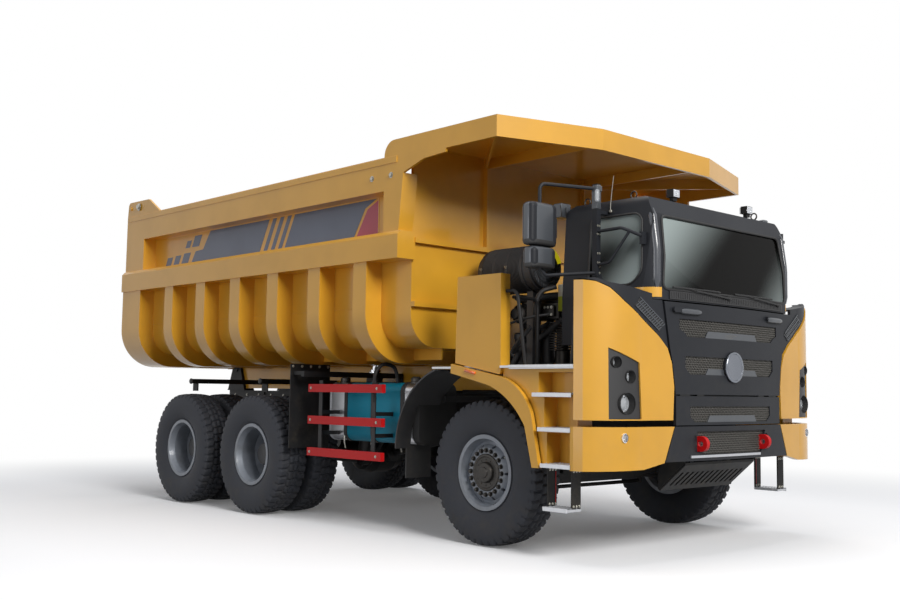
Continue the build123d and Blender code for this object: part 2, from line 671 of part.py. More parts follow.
dash_front_x = 4110
dash_rear_x = 3890
dash_top_z = 2370
dash_half_width = 880
with BuildPart() as dash:
    dash_floor_z = cab_floor_z + cab_wall
    side_prism([(dash_front_x - 50, dash_floor_z), (dash_front_x - 50, dash_top_z - 80),
                (dash_front_x, dash_top_z - 80), (dash_front_x, dash_top_z - 40),
                (dash_front_x - 120, dash_top_z),
                (dash_rear_x + 10, dash_top_z - 70), (dash_rear_x, dash_top_z - 170),
                (dash_rear_x + 90, dash_top_z - 220), (dash_rear_x + 90, dash_floor_z)],
               (-dash_half_width, dash_half_width))
    with BuildLine() as column_line:
        Line((dash_rear_x + 40, seat_y, dash_top_z - 120), (dash_rear_x - 90, seat_y, dash_top_z + 80))
    with BuildSketch(Plane(origin=column_line.line @ 0, z_dir=column_line.line % 0)) as column_section:
        Circle(32)
    sweep(column_section.sketch, path=column_line.line)
    wheel_plane = Plane(origin=column_line.line @ 1, z_dir=column_line.line % 0)
    with BuildSketch(wheel_plane) as wheel_hub:
        Circle(60)
        Rectangle(400, 30)
    extrude(wheel_hub.sketch, amount=18)
    with BuildSketch(wheel_plane) as wheel_ring:
        Circle(215)
        Circle(190, mode=Mode.SUBTRACT)
    extrude(wheel_ring.sketch, amount=24)
dash.part.label = "dash"
export_step(dash.part, "parts/dash.step")

# ------------------------------------------------------------------ fascia
fascia_shoulder = (4165, 1285)
fascia_corner = (4080, 1600)
fascia_turn = (3930, 1775)


def fascia_solid(inset, z, mode=Mode.ADD):
    """Everything behind the bowed face, drawn in by an inset."""
    with BuildSketch(Plane.XY.offset(z[0])) as plan:
        with BuildLine():
            Polyline((fascia_turn[0], -fascia_turn[1]), (fascia_rear_x, -fascia_side_y),
                     (fascia_rear_x - 400, -fascia_side_y), (fascia_rear_x - 400, fascia_side_y),
                     (fascia_rear_x, fascia_side_y), fascia_turn)
            ThreePointArc(fascia_turn, fascia_corner, fascia_shoulder)
            ThreePointArc(fascia_shoulder, (fascia_front_x, 0), (fascia_shoulder[0], -fascia_shoulder[1]))
            ThreePointArc((fascia_shoulder[0], -fascia_shoulder[1]), (fascia_corner[0], -fascia_corner[1]),
                          (fascia_turn[0], -fascia_turn[1]))
        make_face()
        if inset:
            offset(amount=-inset, kind=Kind.INTERSECTION)
    extrude(plan.sketch, amount=z[1] - z[0], mode=mode)


def fascia_panel(outline, inset, sheet, rear_x=fascia_rear_x):
    """A sheet that follows the bowed face inside a front outline of (y, z) points."""
    low = min(z for y, z in outline) - 5
    high = max(z for y, z in outline) + 5
    with BuildPart() as panel:
        fascia_solid(inset, (low, high))
        fascia_solid(inset + sheet, (low, high), Mode.SUBTRACT)
        front_prism(outline, (rear_x, fascia_front_x + 10), Mode.INTERSECT)
    return panel.part


def mirrored(outline):
    """A left half outline, closed by its mirror image."""
    return list(outline) + [(-y, z) for y, z in reversed(outline)]


fairing_outline = [(890, fairing_bottom_z), (1810, fairing_bottom_z), (1810, 2370), (1700, 2350),
                   (1602, 2300), (1478, 2190), (1226, 2016), (1073, 1915), (960, 1815), (905, 1690),
                   (875, 1485)]
cap_outline = [(935, 1810), (1065, 1925), (1218, 2026), (1470, 2201), (1597, 2312), (1700, 2361),
               (1775, 2378), (1700, 2385), (1602, 2350), (1142, 2280), (1142, 2228), (1012, 2228)]
lamp_outline = [(1288, 1205), (1612, 1205), (1616, 1800), (1315, 1678)]
# y, z, radius of the three lamps in each cluster
lamps = ((1540, 1680, 50), (1405, 1560, 58), (1440, 1335, 92))

with BuildPart() as fairings:
    add(fascia_panel(fairing_outline, 0, fascia_sheet))
    front_prism(lamp_outline, (fascia_rear_x + 60, fascia_front_x + 10), Mode.SUBTRACT)
    mirror(about=Plane.XZ)
fairings.part.label = "fairings"
export_step(fairings.part, "parts/fairings.step")

# the shelf ends in front of the place that the open door's lower part reaches
cap_shelf_rear_x = fascia_rear_x + 70
with BuildPart() as fairing_caps:
    add(fascia_panel(cap_outline, 12, fascia_sheet))
    with BuildPart(mode=Mode.PRIVATE) as shelf:
        fascia_solid(12, (2200, 2400))
        front_prism([(cab_half_width + 12, 2262), (1602, 2332), (1700, 2366), (1700, 2378), (1602, 2348),
                     (cab_half_width + 12, 2278)], (cap_shelf_rear_x, fascia_front_x), Mode.INTERSECT)
    add(shelf.part)
    mirror(about=Plane.XZ)
fairing_caps.part.label = "fairing_caps"
export_step(fairing_caps.part, "parts/fairing_caps.step")

lamp_recess = 14
lamp_depth = 84
lens_setback = 58
with BuildPart() as lamp_panels:
    add(fascia_panel(lamp_outline, lamp_recess, lamp_depth))
    for y, z, radius in lamps:
        bar_along(y, z, radius, (fascia_rear_x + 80, fascia_front_x), Mode.SUBTRACT)
    mirror(about=Plane.XZ)
lamp_panels.part.label = "lamp_panels"
export_step(lamp_panels.part, "parts/lamp_panels.step")

with BuildPart() as lamp_lenses:
    for y, z, radius in lamps:
        bar_along(y, z, radius, (fascia_rear_x + 80, fascia_front_x))
    fascia_solid(lamp_recess + lens_setback, (fairing_bottom_z, 1900), Mode.INTERSECT)
    fascia_solid(lamp_recess + lamp_depth, (fairing_bottom_z, 1900), Mode.SUBTRACT)
    mirror(about=Plane.XZ)
lamp_lenses.part.label = "lamp_lenses"
export_step(lamp_lenses.part, "parts/lamp_lenses.step")

grille_inset = 18
grille_sheet = 8
grille_cell = 30
grille_bar = 12


def grille(opening, tab, inset=grille_inset):
    """A sheet of six-sided holes behind an opening, with a plain tab at its lower middle."""
    half_width = max(y for y, z in opening)
    low, high = min(z for y, z in opening), max(z for y, z in opening)
    pitch = 2 * grille_cell + grille_bar
    row_step = pitch * sqrt(3) / 2
    rows = int((high - low - 2 * grille_cell) / row_step) + 1
    columns = int((half_width - grille_cell) / pitch)
    first_z = (low + high) / 2 - (rows - 1) * row_step / 2
    with BuildPart() as sheet:
        add(fascia_panel(opening, inset, grille_sheet))
        with BuildSketch(Plane.YZ.offset(fascia_rear_x)) as holes:
            for row in range(rows):
                shift = pitch / 2 if row % 2 else 0
                for column in range(-columns, columns + 1 - row % 2):
                    with Locations((column * pitch + shift, first_z + row * row_step)):
                        RegularPolygon(grille_cell, 6, major_radius=False, rotation=30)
        extrude(holes.sketch, amount=fascia_front_x - fascia_rear_x, mode=Mode.SUBTRACT)
        if tab:
            add(fascia_panel(tab, inset - 12, 14))
    return sheet.part


lid_bottom_z = 1418
lid_top_z = 2222
lid_outline = mirrored([(855, lid_bottom_z), (862, 1485), (893, 1690), (925, 1810), (1000, lid_top_z)])
upper_grille = mirrored([(690, 1925), (735, 1965), (800, 1990), (800, 2080)])
lower_grille = mirrored([(655, 1595), (690, 1625), (720, 1650), (720, 1755)])
upper_tab = mirrored([(330, 1925), (420, 1928), (380, 1985)])
lower_tab = mirrored([(330, 1595), (420, 1598), (380, 1650)])
badge_z = 1672
badge_radius = 143
with BuildPart() as front_lid:
    add(fascia_panel(lid_outline, 0, fascia_sheet))
    for opening in (upper_grille, lower_grille):
        front_prism(opening, (fascia_rear_x, fascia_front_x + 10), Mode.SUBTRACT)
    bar_along(0, badge_z, badge_radius, (fascia_front_x - grille_inset - 4, fascia_front_x + 16))
    # the two grab handles
    for side in (1, -1):
        with BuildPart(mode=Mode.PRIVATE) as handle:
            block((fascia_front_x - 80, fascia_front_x + 60), (side * 590, side * 900), (2132, 2178))
            fillet(handle.edges().filter_by(Axis.X), 22)
            fascia_solid(-26, (2100, 2200), Mode.INTERSECT)
            fascia_solid(10, (2100, 2200), Mode.SUBTRACT)
        add(handle.part)
front_lid.part.label = "front_lid"
export_step(front_lid.part, "parts/front_lid.step")

with BuildPart() as lid_grilles:
    for opening, tab in ((upper_grille, upper_tab), (lower_grille, lower_tab)):
        add(grille(opening, tab))
    bar_along(0, badge_z, badge_radius, (fascia_rear_x, fascia_front_x), Mode.SUBTRACT)
lid_grilles.part.label = "lid_grilles"
export_step(lid_grilles.part, "parts/lid_grilles.step")

nose_outline = mirrored([(850, 1150), (850, 1405)])
nose_grille = mirrored([(590, 1175), (630, 1205), (655, 1225), (655, 1315)])
nose_tab = mirrored([(300, 1175), (400, 1178), (360, 1232)])
with BuildPart() as nose_panel:
    add(fascia_panel(nose_outline, 0, fascia_sheet))
    front_prism(nose_grille, (fascia_rear_x, fascia_front_x + 10), Mode.SUBTRACT)
nose_panel.part.label = "nose_panel"
export_step(nose_panel.part, "parts/nose_panel.step")

bumper_corner_outline = [(872, bumper_top_z), (1810, bumper_top_z), (1810, bumper_bottom_z),
                         (1260, bumper_bottom_z + 10), (1005, 833)]
with BuildPart() as bumper_corners:
    add(fascia_panel(bumper_corner_outline, 0, 60, fascia_rear_x - 35))
    bar_along(1475, 1050, 38, (fascia_rear_x + 60, fascia_front_x), Mode.SUBTRACT)
    bar_along(1475, 1050, 38, (fascia_rear_x + 230, fascia_rear_x + 262))
    mirror(about=Plane.XZ)
bumper_corners.part.label = "bumper_corners"
export_step(bumper_corners.part, "parts/bumper_corners.step")

bumper_centre_outline = mirrored([(990, 838), (862, bumper_top_z)])
bumper_grille = mirrored([(480, 890), (560, 1095)])
tow_eye_y = 510
tow_eye_z = 985
tow_eye_outer = 68
tow_eye_hole = 26
tow_eye_plate = 44
overall_front_x = 4300
tow_eye_x = overall_front_x - tow_eye_outer
tow_gap = 6
tow_slot_y = (tow_eye_y - tow_eye_plate / 2 - tow_gap, tow_eye_y + tow_eye_plate / 2 + tow_gap)
tow_slot_z = (tow_eye_z - tow_eye_outer - tow_gap, tow_eye_z + tow_eye_outer + tow_gap)
# room for a shackle's pin beside the eye
tow_pocket_side = 62
with BuildPart() as bumper_centre:
    add(fascia_panel(bumper_centre_outline, 0, 60))
    front_prism(bumper_grille, (fascia_rear_x, fascia_front_x + 10), Mode.SUBTRACT)
    for side in (1, -1):
        block((fascia_rear_x, fascia_front_x + 10), (side * tow_slot_y[0], side * tow_slot_y[1]),
              tow_slot_z, Mode.SUBTRACT)
        block((tow_eye_x - tow_eye_hole - tow_gap, fascia_front_x + 10),
              (side * (tow_slot_y[0] - tow_pocket_side), side * (tow_slot_y[1] + tow_pocket_side)),
              tow_slot_z, Mode.SUBTRACT)
bumper_centre.part.label = "bumper_centre"
export_step(bumper_centre.part, "parts/bumper_centre.step")

with BuildPart() as front_grilles:
    add(grille(nose_grille, nose_tab))
    add(grille(bumper_grille, None, 34))
    for side in (1, -1):
        block((fascia_rear_x, fascia_front_x + 10), (side * tow_slot_y[0], side * tow_slot_y[1]),
              tow_slot_z, Mode.SUBTRACT)
front_grilles.part.label = "front_grilles"
export_step(front_grilles.part, "parts/front_grilles.step")

with BuildPart() as tow_eyes:
    for side in (1, -1):
        eye_span = (side * tow_eye_y - tow_eye_plate / 2, side * tow_eye_y + tow_eye_plate / 2)
        block((frame_front_x, tow_eye_x), eye_span, (tow_eye_z - tow_eye_outer, tow_eye_z + tow_eye_outer))
        drum(tow_eye_x, tow_eye_z, tow_eye_outer, eye_span)
        drum(tow_eye_x, tow_eye_z, tow_eye_hole, eye_span, Mode.SUBTRACT)
        block((frame_front_x, frame_front_x + 20), (side * tow_eye_y - 70, side * tow_eye_y + 70),
              (rail_bottom_z - 110, rail_bottom_z + 120))
    block((frame_front_x, frame_front_x + 20), (-tow_eye_y, tow_eye_y),
          (rail_bottom_z + 20, rail_bottom_z + 100))
tow_eyes.part.label = "tow_eyes"
export_step(tow_eyes.part, "parts/tow_eyes.step")

guard_rear_x = frame_front_x - 160
guard_front_x = frame_front_x + 130
guard_half_width = 560
guard_slot_pitch = 80
guard_slot_width = 32
guard_outline = [(guard_rear_x, 560), (guard_rear_x + 12, 548), (guard_front_x, 790), (guard_front_x, 812),
                 (guard_front_x - 14, 812)]
with BuildPart() as sump_guard:
    side_prism(guard_outline, (-guard_half_width, guard_half_width))
    for step in range(-6, 7):
        block((guard_rear_x + 60, guard_front_x - 80),
              (step * guard_slot_pitch - guard_slot_width / 2,
               step * guard_slot_pitch + guard_slot_width / 2),
              (500, 830), Mode.SUBTRACT)
    for side in (1, -1):
        side_prism([(guard_rear_x, 560), (guard_front_x, 812), (guard_front_x, 835),
                    (frame_front_x - 2, 835), (frame_front_x - 2, 990), (frame_front_x - 60, 990),
                    (guard_rear_x, 700)],
                   (side * guard_half_width, side * (guard_half_width + 12)))
sump_guard.part.label = "sump_guard"
export_step(sump_guard.part, "parts/sump_guard.step")

# ------------------------------------------------------------------ fenders, steps and platforms
arch_radius = 845
arch_start = 73.4
arch_stop = 32.4
arch_foot = (3364, bumper_bottom_z)
arch_rear = (2320, 1589)
lip_outer_y = 1780
lip_inner_y = 1740
body_y = lip_inner_y - 12
step_back_y = 1560
step_front_x = fascia_rear_x - 5
tread_plate = 12
# top, rear edge and front edge of each tread
treads = ((1415, 3362, 3815), (1120, 3428, 3815), (815, 3462, 3806))


def on_arch(radius, angle):
    """A point round the front wheel's centre."""
    return (front_axle_x + radius * cos(radians(angle)), wheel_z + radius * sin(radians(angle)))


def arch_band(outer_points, y):
    """The band between the wheel arch and an outer edge."""
    with BuildSketch(Plane.XZ.offset(-y[0])) as band:
        with BuildLine():
            start, middle, stop = (on_arch(arch_radius, a)
                                   for a in (arch_start, (arch_start + arch_stop) / 2, arch_stop))
            Line(arch_rear, start)
            ThreePointArc(start, middle, stop)
            Line(stop, arch_foot)
            Line(arch_foot, outer_points[0])
            Line(outer_points[0], outer_points[1])
            ThreePointArc(*outer_points[1:4])
            Line(outer_points[3], outer_points[4])
            Line(outer_points[4], arch_rear)
        make_face()
    extrude(band.sketch, amount=y[0] - y[1])


lip_edge = [(3445, bumper_bottom_z), (3352, 1229), (3205, 1440), (2960, 1560), (2320, 1676)]
sheet_edge = [(3388, bumper_bottom_z), on_arch(arch_radius + 22, arch_stop),
              on_arch(arch_radius + 22, (arch_start + arch_stop) / 2), on_arch(arch_radius + 22, arch_start),
              (2320, 1613)]
with BuildPart() as fenders:
    arch_band(lip_edge, (lip_inner_y, lip_outer_y))
    arch_band(sheet_edge, (1185, lip_inner_y))
    body_outline = [(2960, platform_z - 20), (step_front_x, platform_z - 20), (step_front_x, 790),
                    (3440, 790), (3350, 1229), (3205, 1436), (2960, 1557)]
    side_prism(body_outline, (step_back_y - 20, body_y))
    for top, rear_x, front_x in treads:
        block((rear_x + 30, front_x), (step_back_y, lip_outer_y),
              (top, min(top + 265, platform_z - 60)), Mode.SUBTRACT)
        block((rear_x, front_x), (step_back_y, lip_outer_y), (top - tread_plate, top), Mode.SUBTRACT)
    mirror(about=Plane.XZ)
fenders.part.label = "fenders"
export_step(fenders.part, "parts/fenders.step")

hanger_x = (3470, 3740)
hanging_step_z = 450
with BuildPart() as platforms:
    block((2960, step_front_x), (cab_half_width + 20, 1775), (platform_z - 20, platform_z))
    block((1900, 2960), (cab_half_width - 330, 1640), (platform_z - 20, platform_z))
    block((2960, 3060), (rail_y, cab_half_width + 20), (platform_z - 20, platform_z))
    for top, rear_x, front_x in treads:
        block((rear_x, front_x), (step_back_y, body_y), (top - tread_plate, top))
    for hanger in hanger_x:
        block((hanger - 4, hanger + 4), (1580, 1690), (hanging_step_z, 790))
    block((hanger_x[0] - 4, hanger_x[1] + 4), (1575, 1745), (hanging_step_z - 25, hanging_step_z))
    mirror(about=Plane.XZ)
platforms.part.label = "platforms"
export_step(platforms.part, "parts/platforms.step")

shield_outline = [(2360, 1682), (2940, 1578), (2956, 1600), (2950, 2490), (2380, 2490)]
with BuildPart() as side_shields:
    side_prism(shield_outline, (1640, lip_inner_y + 20))
    side_prism(shrunk(shield_outline, 18), (1630, lip_inner_y + 4), Mode.SUBTRACT)
    mirror(about=Plane.XZ)
side_shields.part.label = "side_shields"
export_step(side_shields.part, "parts/side_shields.step")

rail_tube = 17
with BuildPart() as handrails:
    tube([(2960, 1690, 2330), (3090, 1690, 2330), (3200, 1690, platform_z)], rail_tube, 75)
    tube([(2975, 1300, platform_z), (2975, 1300, 2280), (2975, 1622, 2280)], rail_tube, 75)
    tube([(3745, 1700, platform_z), (3790, 1700, 2190), (3835, 1742, 2220)], rail_tube, 20)
    block((2900, 3900), (1200, 1800), (platform_z - 20, platform_z), Mode.SUBTRACT)
    mirror(about=Plane.XZ)
handrails.part.label = "handrails"
export_step(handrails.part, "parts/handrails.step")

# ------------------------------------------------------------------ mirrors
mirror_x = 3410
mirror_y = cab_half_width + 620
mirror_post_x = 3610
post_y = (cab_half_width + 62, cab_half_width + 114)
stay_y = cab_half_width + 92
for side_name, side, post_top in (("left", 1, 3190), ("right", -1, 3290)):
    with BuildPart() as mirror_set:
        with Locations((mirror_x, side * mirror_y, 2885)):
            Box(130, 340, 370)
        with Locations((mirror_x, side * mirror_y, 2590)):
            Box(140, 300, 180)
        fillet(mirror_set.edges(), 38)
        block((mirror_post_x - 28, mirror_post_x + 28), (side * post_y[0], side * post_y[1]),
              (2460, post_top))
        block((mirror_post_x - 22, mirror_post_x + 22), (side * (cab_half_width - 80), side * post_y[0]),
              (3026, 3056))
        front_prism([(side * post_y[1], 2500), (side * post_y[0], 2500),
                     (side * (cab_half_width - 20), 2368), (side * (cab_half_width - 20), 2345),
                     (side * (cab_half_width + 20), 2345),
                     (side * post_y[1], 2456)], (mirror_post_x - 22, mirror_post_x + 22))
        tube([(mirror_post_x, side * sum(post_y) / 2, post_top - 40),
              (mirror_x, side * mirror_y, post_top - 40),
              (mirror_x, side * mirror_y, 3060)], 16, 55)
        tube([(mirror_post_x, side * sum(post_y) / 2, 2490), (mirror_x + 20, side * (mirror_y - 60), 2440),
              (mirror_x, side * mirror_y, 2510)], 16, 30)
        block((mirror_x - 14, mirror_x + 14), (side * (mirror_y - 14), side * (mirror_y + 14)), (2670, 2710))
        # stays from the post to the windscreen's pillar
        if side < 0:
            tube([(mirror_post_x, side * stay_y, 2860), (3900, side * stay_y, 2868),
                  (4060, side * (cab_half_width + 20), 2790)], 15, 80)
            tube([(mirror_post_x, side * stay_y, 2560), (3760, side * stay_y, 2570),
                  (3960, side * (cab_half_width + 66), 2828)], 13, 60)
            with Locations((4060, side * (cab_half_width - 2), 2770)):
                Box(30, 60, 110)
        add(cab_outside, mode=Mode.SUBTRACT)
    mirror_set.part.label = f"mirror_{side_name}"
    export_step(mirror_set.part, f"parts/mirror_{side_name}.step")

# ------------------------------------------------------------------ mudguards, tanks and ladder
tank_x = (60, 1560)
tank_y = (1000, 1500)
tank_z = (880, 1500)
with BuildPart() as mudguards:
    guard_line = [(2000, 1628), (1740, 1520), (1590, 1340), (1480, 1120), (1430, 850)]
    with BuildSketch(Plane.XZ.offset(-1230)) as guard_side:
        with BuildLine():
            ThreePointArc(guard_line[0], guard_line[2], guard_line[4])
            Line(guard_line[4], (1445, 846))
            ThreePointArc((1445, 846), (1604, 1332), (2008, 1613))
            Line((2008, 1613), guard_line[0])
        make_face()
    extrude(guard_side.sketch, amount=-(1700 - 1230))
    block((1300, tank_x[1] + 8), (1200, tank_y[1] + 6), (tank_z[0] - 10, tank_z[1] + 6), Mode.SUBTRACT)
    block((1432, 1446), (1230, 1560), (550, 852))
    block((1600, 1660), (rail_y, 1230), (1310, 1370))
    mirror(about=Plane.XZ)
mudguards.part.label = "mudguards"
export_step(mudguards.part, "parts/mudguards.step")

with BuildPart() as rear_guards:
    for arm_at in (-2880, -1250):
        block((arm_at - 30, arm_at + 30), (rail_y, rail_y + 14), (rail_top - 150, 1540))
        block((arm_at - 30, arm_at + 30), (rail_y, 1560), (1480, 1540))
        block((arm_at - 60, arm_at + 60), (1490, 1504), (1385, 1480))
    block((10, 70), (rail_y, 1860), (1560, 1620))
    block((10, 70), (rail_y, rail_y + 14), (rail_top - 150, 1620))
    for stub_y in (1390, 1810):
        block((-170, 10), (stub_y, stub_y + 30), (1580, 1620))
    block((-182, -170), (1340, 1870), (780, 1700))
    mirror(about=Plane.XZ)
rear_guards.part.label = "rear_guards"
export_step(rear_guards.part, "parts/rear_guards.step")

with BuildPart() as fuel_tank:
    with BuildSketch(Plane.YZ.offset(tank_x[0])) as tank_section:
        with Locations((-(tank_y[0] + tank_y[1]) / 2, (tank_z[0] + tank_z[1]) / 2)):
            RectangleRounded(tank_y[1] - tank_y[0], tank_z[1] - tank_z[0], 95)
    extrude(tank_section.sketch, amount=tank_x[1] - tank_x[0])
    for cap_x in (tank_x[0] + 120, tank_x[1] - 190):
        post(cap_x, -1380, 48, (tank_z[1] - 4, tank_z[1] + 34))
    for bracket_x in (360, 1260):
        block((bracket_x - 45, bracket_x + 45), (-tank_y[0], -rail_y), (1080, 1180))
fuel_tank.part.label = "fuel_tank"
export_step(fuel_tank.part, "parts/fuel_tank.step")

with BuildPart() as hydraulic_tank:
    with BuildSketch(Plane.YZ.offset(tank_x[0] + 140)) as tank_section:
        with Locations(((tank_y[0] + tank_y[1]) / 2, (tank_z[0] + tank_z[1]) / 2)):
            RectangleRounded(tank_y[1] - tank_y[0], tank_z[1] - tank_z[0], 60)
    extrude(tank_section.sketch, amount=1100)
    post(tank_x[0] + 300, 1340, 60, (tank_z[1] - 4, tank_z[1] + 40))
    for bracket_x in (460, 1060):
        block((bracket_x - 45, bracket_x + 45), (rail_y, tank_y[0]), (1080, 1180))
hydraulic_tank.part.label = "hydraulic_tank"
export_step(hydraulic_tank.part, "parts/hydraulic_tank.step")

rung_x = (70, 1330)
rung_y = 1760
rung_tops = (1480, 1140, 800)
stile_x = (230, 1140)
with BuildPart() as side_ladder:
    for top in rung_tops:
        block(rung_x, (-rung_y - 40, -rung_y + 10), (top - 85, top))
    for at in stile_x:
        block((at - 30, at + 30), (-rung_y + 10, -rung_y + 22), (rung_tops[-1] - 90, rung_tops[0] + 40))
        for arm_z in (1180, 960):
            block((at - 20, at + 20), (-rung_y + 22, -tank_y[1]), (arm_z - 20, arm_z + 20))
side_ladder.part.label = "side_ladder"
export_step(side_ladder.part, "parts/side_ladder.step")

# ------------------------------------------------------------------ bed
rib_corner_radius = bed_corner_radius + 170
rib_side_y = bed_side_y + rib_depth
rib_bottom_z = bed_floor_z - rib_drop


def trough(side_y, bottom_z, radius, top_z, x, mode=Mode.ADD):
    """A solid U: upright sides, round corners and a flat bottom."""
    with BuildSketch(Plane.YZ.offset(x[0])) as section:
        with BuildLine():
            slope = radius * (1 - cos(pi / 4))
            Polyline((-side_y, bottom_z + radius), (-side_y, top_z), (side_y, top_z),
                     (side_y, bottom_z + radius))
            ThreePointArc((side_y, bottom_z + radius), (side_y - slope, bottom_z + slope),
                          (side_y - radius, bottom_z))
            Line((side_y - radius, bottom_z), (-side_y + radius, bottom_z))
            ThreePointArc((-side_y + radius, bottom_z), (-side_y + slope, bottom_z + slope),
                          (-side_y, bottom_z + radius))
        make_face()
    extrude(section.sketch, amount=x[1] - x[0], mode=mode)


headboard_plate = 30
cheek_front_x = bed_front_x + 700
ledge_x = bed_front_x + headboard_plate + 55
front_post_x = (1490, 1785)
canopy_sheet = 26
rear_post_front_x = bed_rear_x + post_length
with BuildPart() as bed_body:
    for number in range(rib_count):
        rib_x = first_rib_x + number * rib_pitch
        trough(rib_side_y, rib_bottom_z, rib_corner_radius, belt_bottom_z,
               (rib_x - rib_width / 2, rib_x + rib_width / 2))
    trough(rib_side_y, rib_bottom_z, rib_corner_radius, belt_bottom_z, (bed_rear_x, rear_post_front_x))
    trough(bed_side_y, bed_floor_z, bed_corner_radius, rail_top_z - top_rail_height,
           (bed_rear_x, bed_front_x + headboard_plate))
    # room for the pivot's ears under the rear post
    for side in (1, -1):
        block((bed_rear_x - 5, pivot_x + 130), (side * (ear_y[0][0] - 18), side * (ear_y[1][1] + 18)),
              (rib_bottom_z - 5, bed_floor_z), Mode.SUBTRACT)
    # belt, top rails and posts
    for side in (1, -1):
        belt = [(side * (bed_side_y - 10), belt_bottom_z), (side * belt_side_y, belt_bottom_z),
                (side * belt_side_y, belt_top_z - 40), (side * (belt_side_y - 40), belt_top_z),
                (side * (bed_side_y - 10), belt_top_z)]
        front_prism(belt, (bed_rear_x - 10, front_post_x[1] - 15))
        block((bed_rear_x, front_post_x[0]), (side * (bed_side_y - bed_plate), side * top_rail_y),
              (rail_top_z - top_rail_height, rail_top_z))
        block((bed_rear_x, rear_post_front_x), (side * (bed_side_y - 10), side * top_rail_y),
              (belt_top_z - 5, rail_top_z))
        side_prism([(front_post_x[0], belt_top_z - 5), (front_post_x[1] - 60, belt_top_z - 5),
                    (front_post_x[1], post_top_z), (front_post_x[0], post_top_z)],
                   (side * (bed_side_y - 10), side * top_rail_y))
    # headboard up to the canopy
    block((bed_front_x, bed_front_x + headboard_plate), (-bed_side_y, bed_side_y),
          (rail_top_z - top_rail_height - 10, canopy_top_z - canopy_sheet))
    for ledge_z in (2270, 2900):
        block((bed_front_x, ledge_x), (-1780, 1780), (ledge_z - 25, ledge_z + 25))
    for side in (1, -1):
        block((bed_front_x, ledge_x), (side * 760, side * 800), (2925, canopy_top_z - canopy_sheet))
    trough(bed_side_y - bed_plate, bed_floor_z + bed_plate, bed_corner_radius - bed_plate,
           canopy_top_z, (bed_rear_x - 20, bed_front_x), Mode.SUBTRACT)
    # runners under the floor
    for side in (1, -1):
        side_prism([(pivot_x - 60, 1620), (pivot_x - 60, bed_floor_z + 5), (1600, bed_floor_z + 5),
                    (1600, rail_top + 30), (pivot_x + 170, rail_top + 30)],
                   (side * runner_y[0], side * runner_y[1]))
        drum(pivot_x, pivot_z, 100, (side * runner_y[0], side * runner_y[1]))
        drum(pivot_x, pivot_z, pivot_pin_radius + 1,
             (side * (runner_y[0] - 5), side * (runner_y[1] + 5)), Mode.SUBTRACT)
        side_prism([(-500, bed_floor_z + 5), (-380, 1735), (1690, 1735), (1690, bed_floor_z + 5)],
                   (side * 1310, side * 1330))
        # ears over the hoist's eye
        for ear in ((hoist_y - ear_outer, hoist_y - ear_inner), (hoist_y + ear_inner, hoist_y + ear_outer)):
            side_prism([(hoist_eye_x - 55, hoist_eye_z), (hoist_eye_x - 90, bed_floor_z + 5),
                        (hoist_eye_x + 90, bed_floor_z + 5), (hoist_eye_x + 55, hoist_eye_z)],
                       (side * ear[0], side * ear[1]))
            drum(hoist_eye_x, hoist_eye_z, 55, (side * ear[0], side * ear[1]))
    # brackets that carry the tailgate's pins
    for side in (1, -1):
        side_prism([(bed_rear_x, rail_top_z - 5), (bed_rear_x + 20, gate_pin_z + 55),
                    (gate_pin_x - 35, gate_pin_z + 87), (gate_pin_x + 497, gate_pin_z + 79),
                    (gate_pin_x + 819, rail_top_z - 5)], (side * (top_rail_y - 30), side * top_rail_y))
        drum(gate_pin_x, gate_pin_z, 24, (side * (top_rail_y - 90), side * (top_rail_y + 12)))
bed_body.part.label = "bed_body"
export_step(bed_body.part, "parts/bed_body.step")

with BuildPart() as canopy:
    roof_outline = [(front_post_x[0] + 150, -top_rail_y), (canopy_corner[0], -canopy_corner[1]),
                    (canopy_nose[0], -canopy_nose[1]), (canopy_nose[0], canopy_nose[1]),
                    (canopy_corner[0], canopy_corner[1]), (front_post_x[0] + 150, top_rail_y)]
    plan_prism(roof_outline, (canopy_top_z - canopy_sheet, canopy_top_z))
    plan_prism(roof_outline, (canopy_top_z - canopy_lip, canopy_top_z))
    inner_outline = [(front_post_x[0] - 10, -top_rail_y + 30),
                     (canopy_corner[0] - 20, -canopy_corner[1] + 30),
                     (canopy_nose[0] - 30, -canopy_nose[1] + 20), (canopy_nose[0] - 30, canopy_nose[1] - 20),
                     (canopy_corner[0] - 20, canopy_corner[1] - 30), (front_post_x[0] - 10, top_rail_y - 30)]
    plan_prism(inner_outline, (canopy_top_z - canopy_lip - 10, canopy_top_z - canopy_sheet), Mode.SUBTRACT)
    for side in (1, -1):
        with BuildSketch(Plane.XZ.offset(-side * (top_rail_y - 30))) as cheek:
            with BuildLine():
                Polyline((front_post_x[0] + 150, canopy_top_z), (cheek_front_x, canopy_top_z),
                         (cheek_front_x, canopy_top_z - canopy_lip - 37),
                         (front_post_x[1] + 300, canopy_top_z - canopy_lip - 54),
                         (front_post_x[1], post_top_z), (front_post_x[0], post_top_z),
                         (front_post_x[0], canopy_top_z - 150))
                ThreePointArc((front_post_x[0], canopy_top_z - 150),
                              (front_post_x[0] + 44, canopy_top_z - 44),
                              (front_post_x[0] + 150, canopy_top_z))
            make_face()
        extrude(cheek.sketch, amount=-side * 30)
        # a rib along the roof and one that runs out to the corner
        block((ledge_x, canopy_nose[0] - 40), (side * 770, side * 790),
              (canopy_top_z - canopy_sheet - 110, canopy_top_z - canopy_sheet))
        plan_prism([(ledge_x, side * 800), (ledge_x, side * 830), (canopy_corner[0] - 60, side * 1905),
                    (canopy_corner[0] - 40, side * 1885)],
                   (canopy_top_z - canopy_sheet - 110, canopy_top_z - canopy_sheet))
        block((front_post_x[0] + 20, bed_front_x - 5), (side * (bed_side_y + 5), side * (top_rail_y - 30)),
              (rail_top_z - 60, rail_top_z))
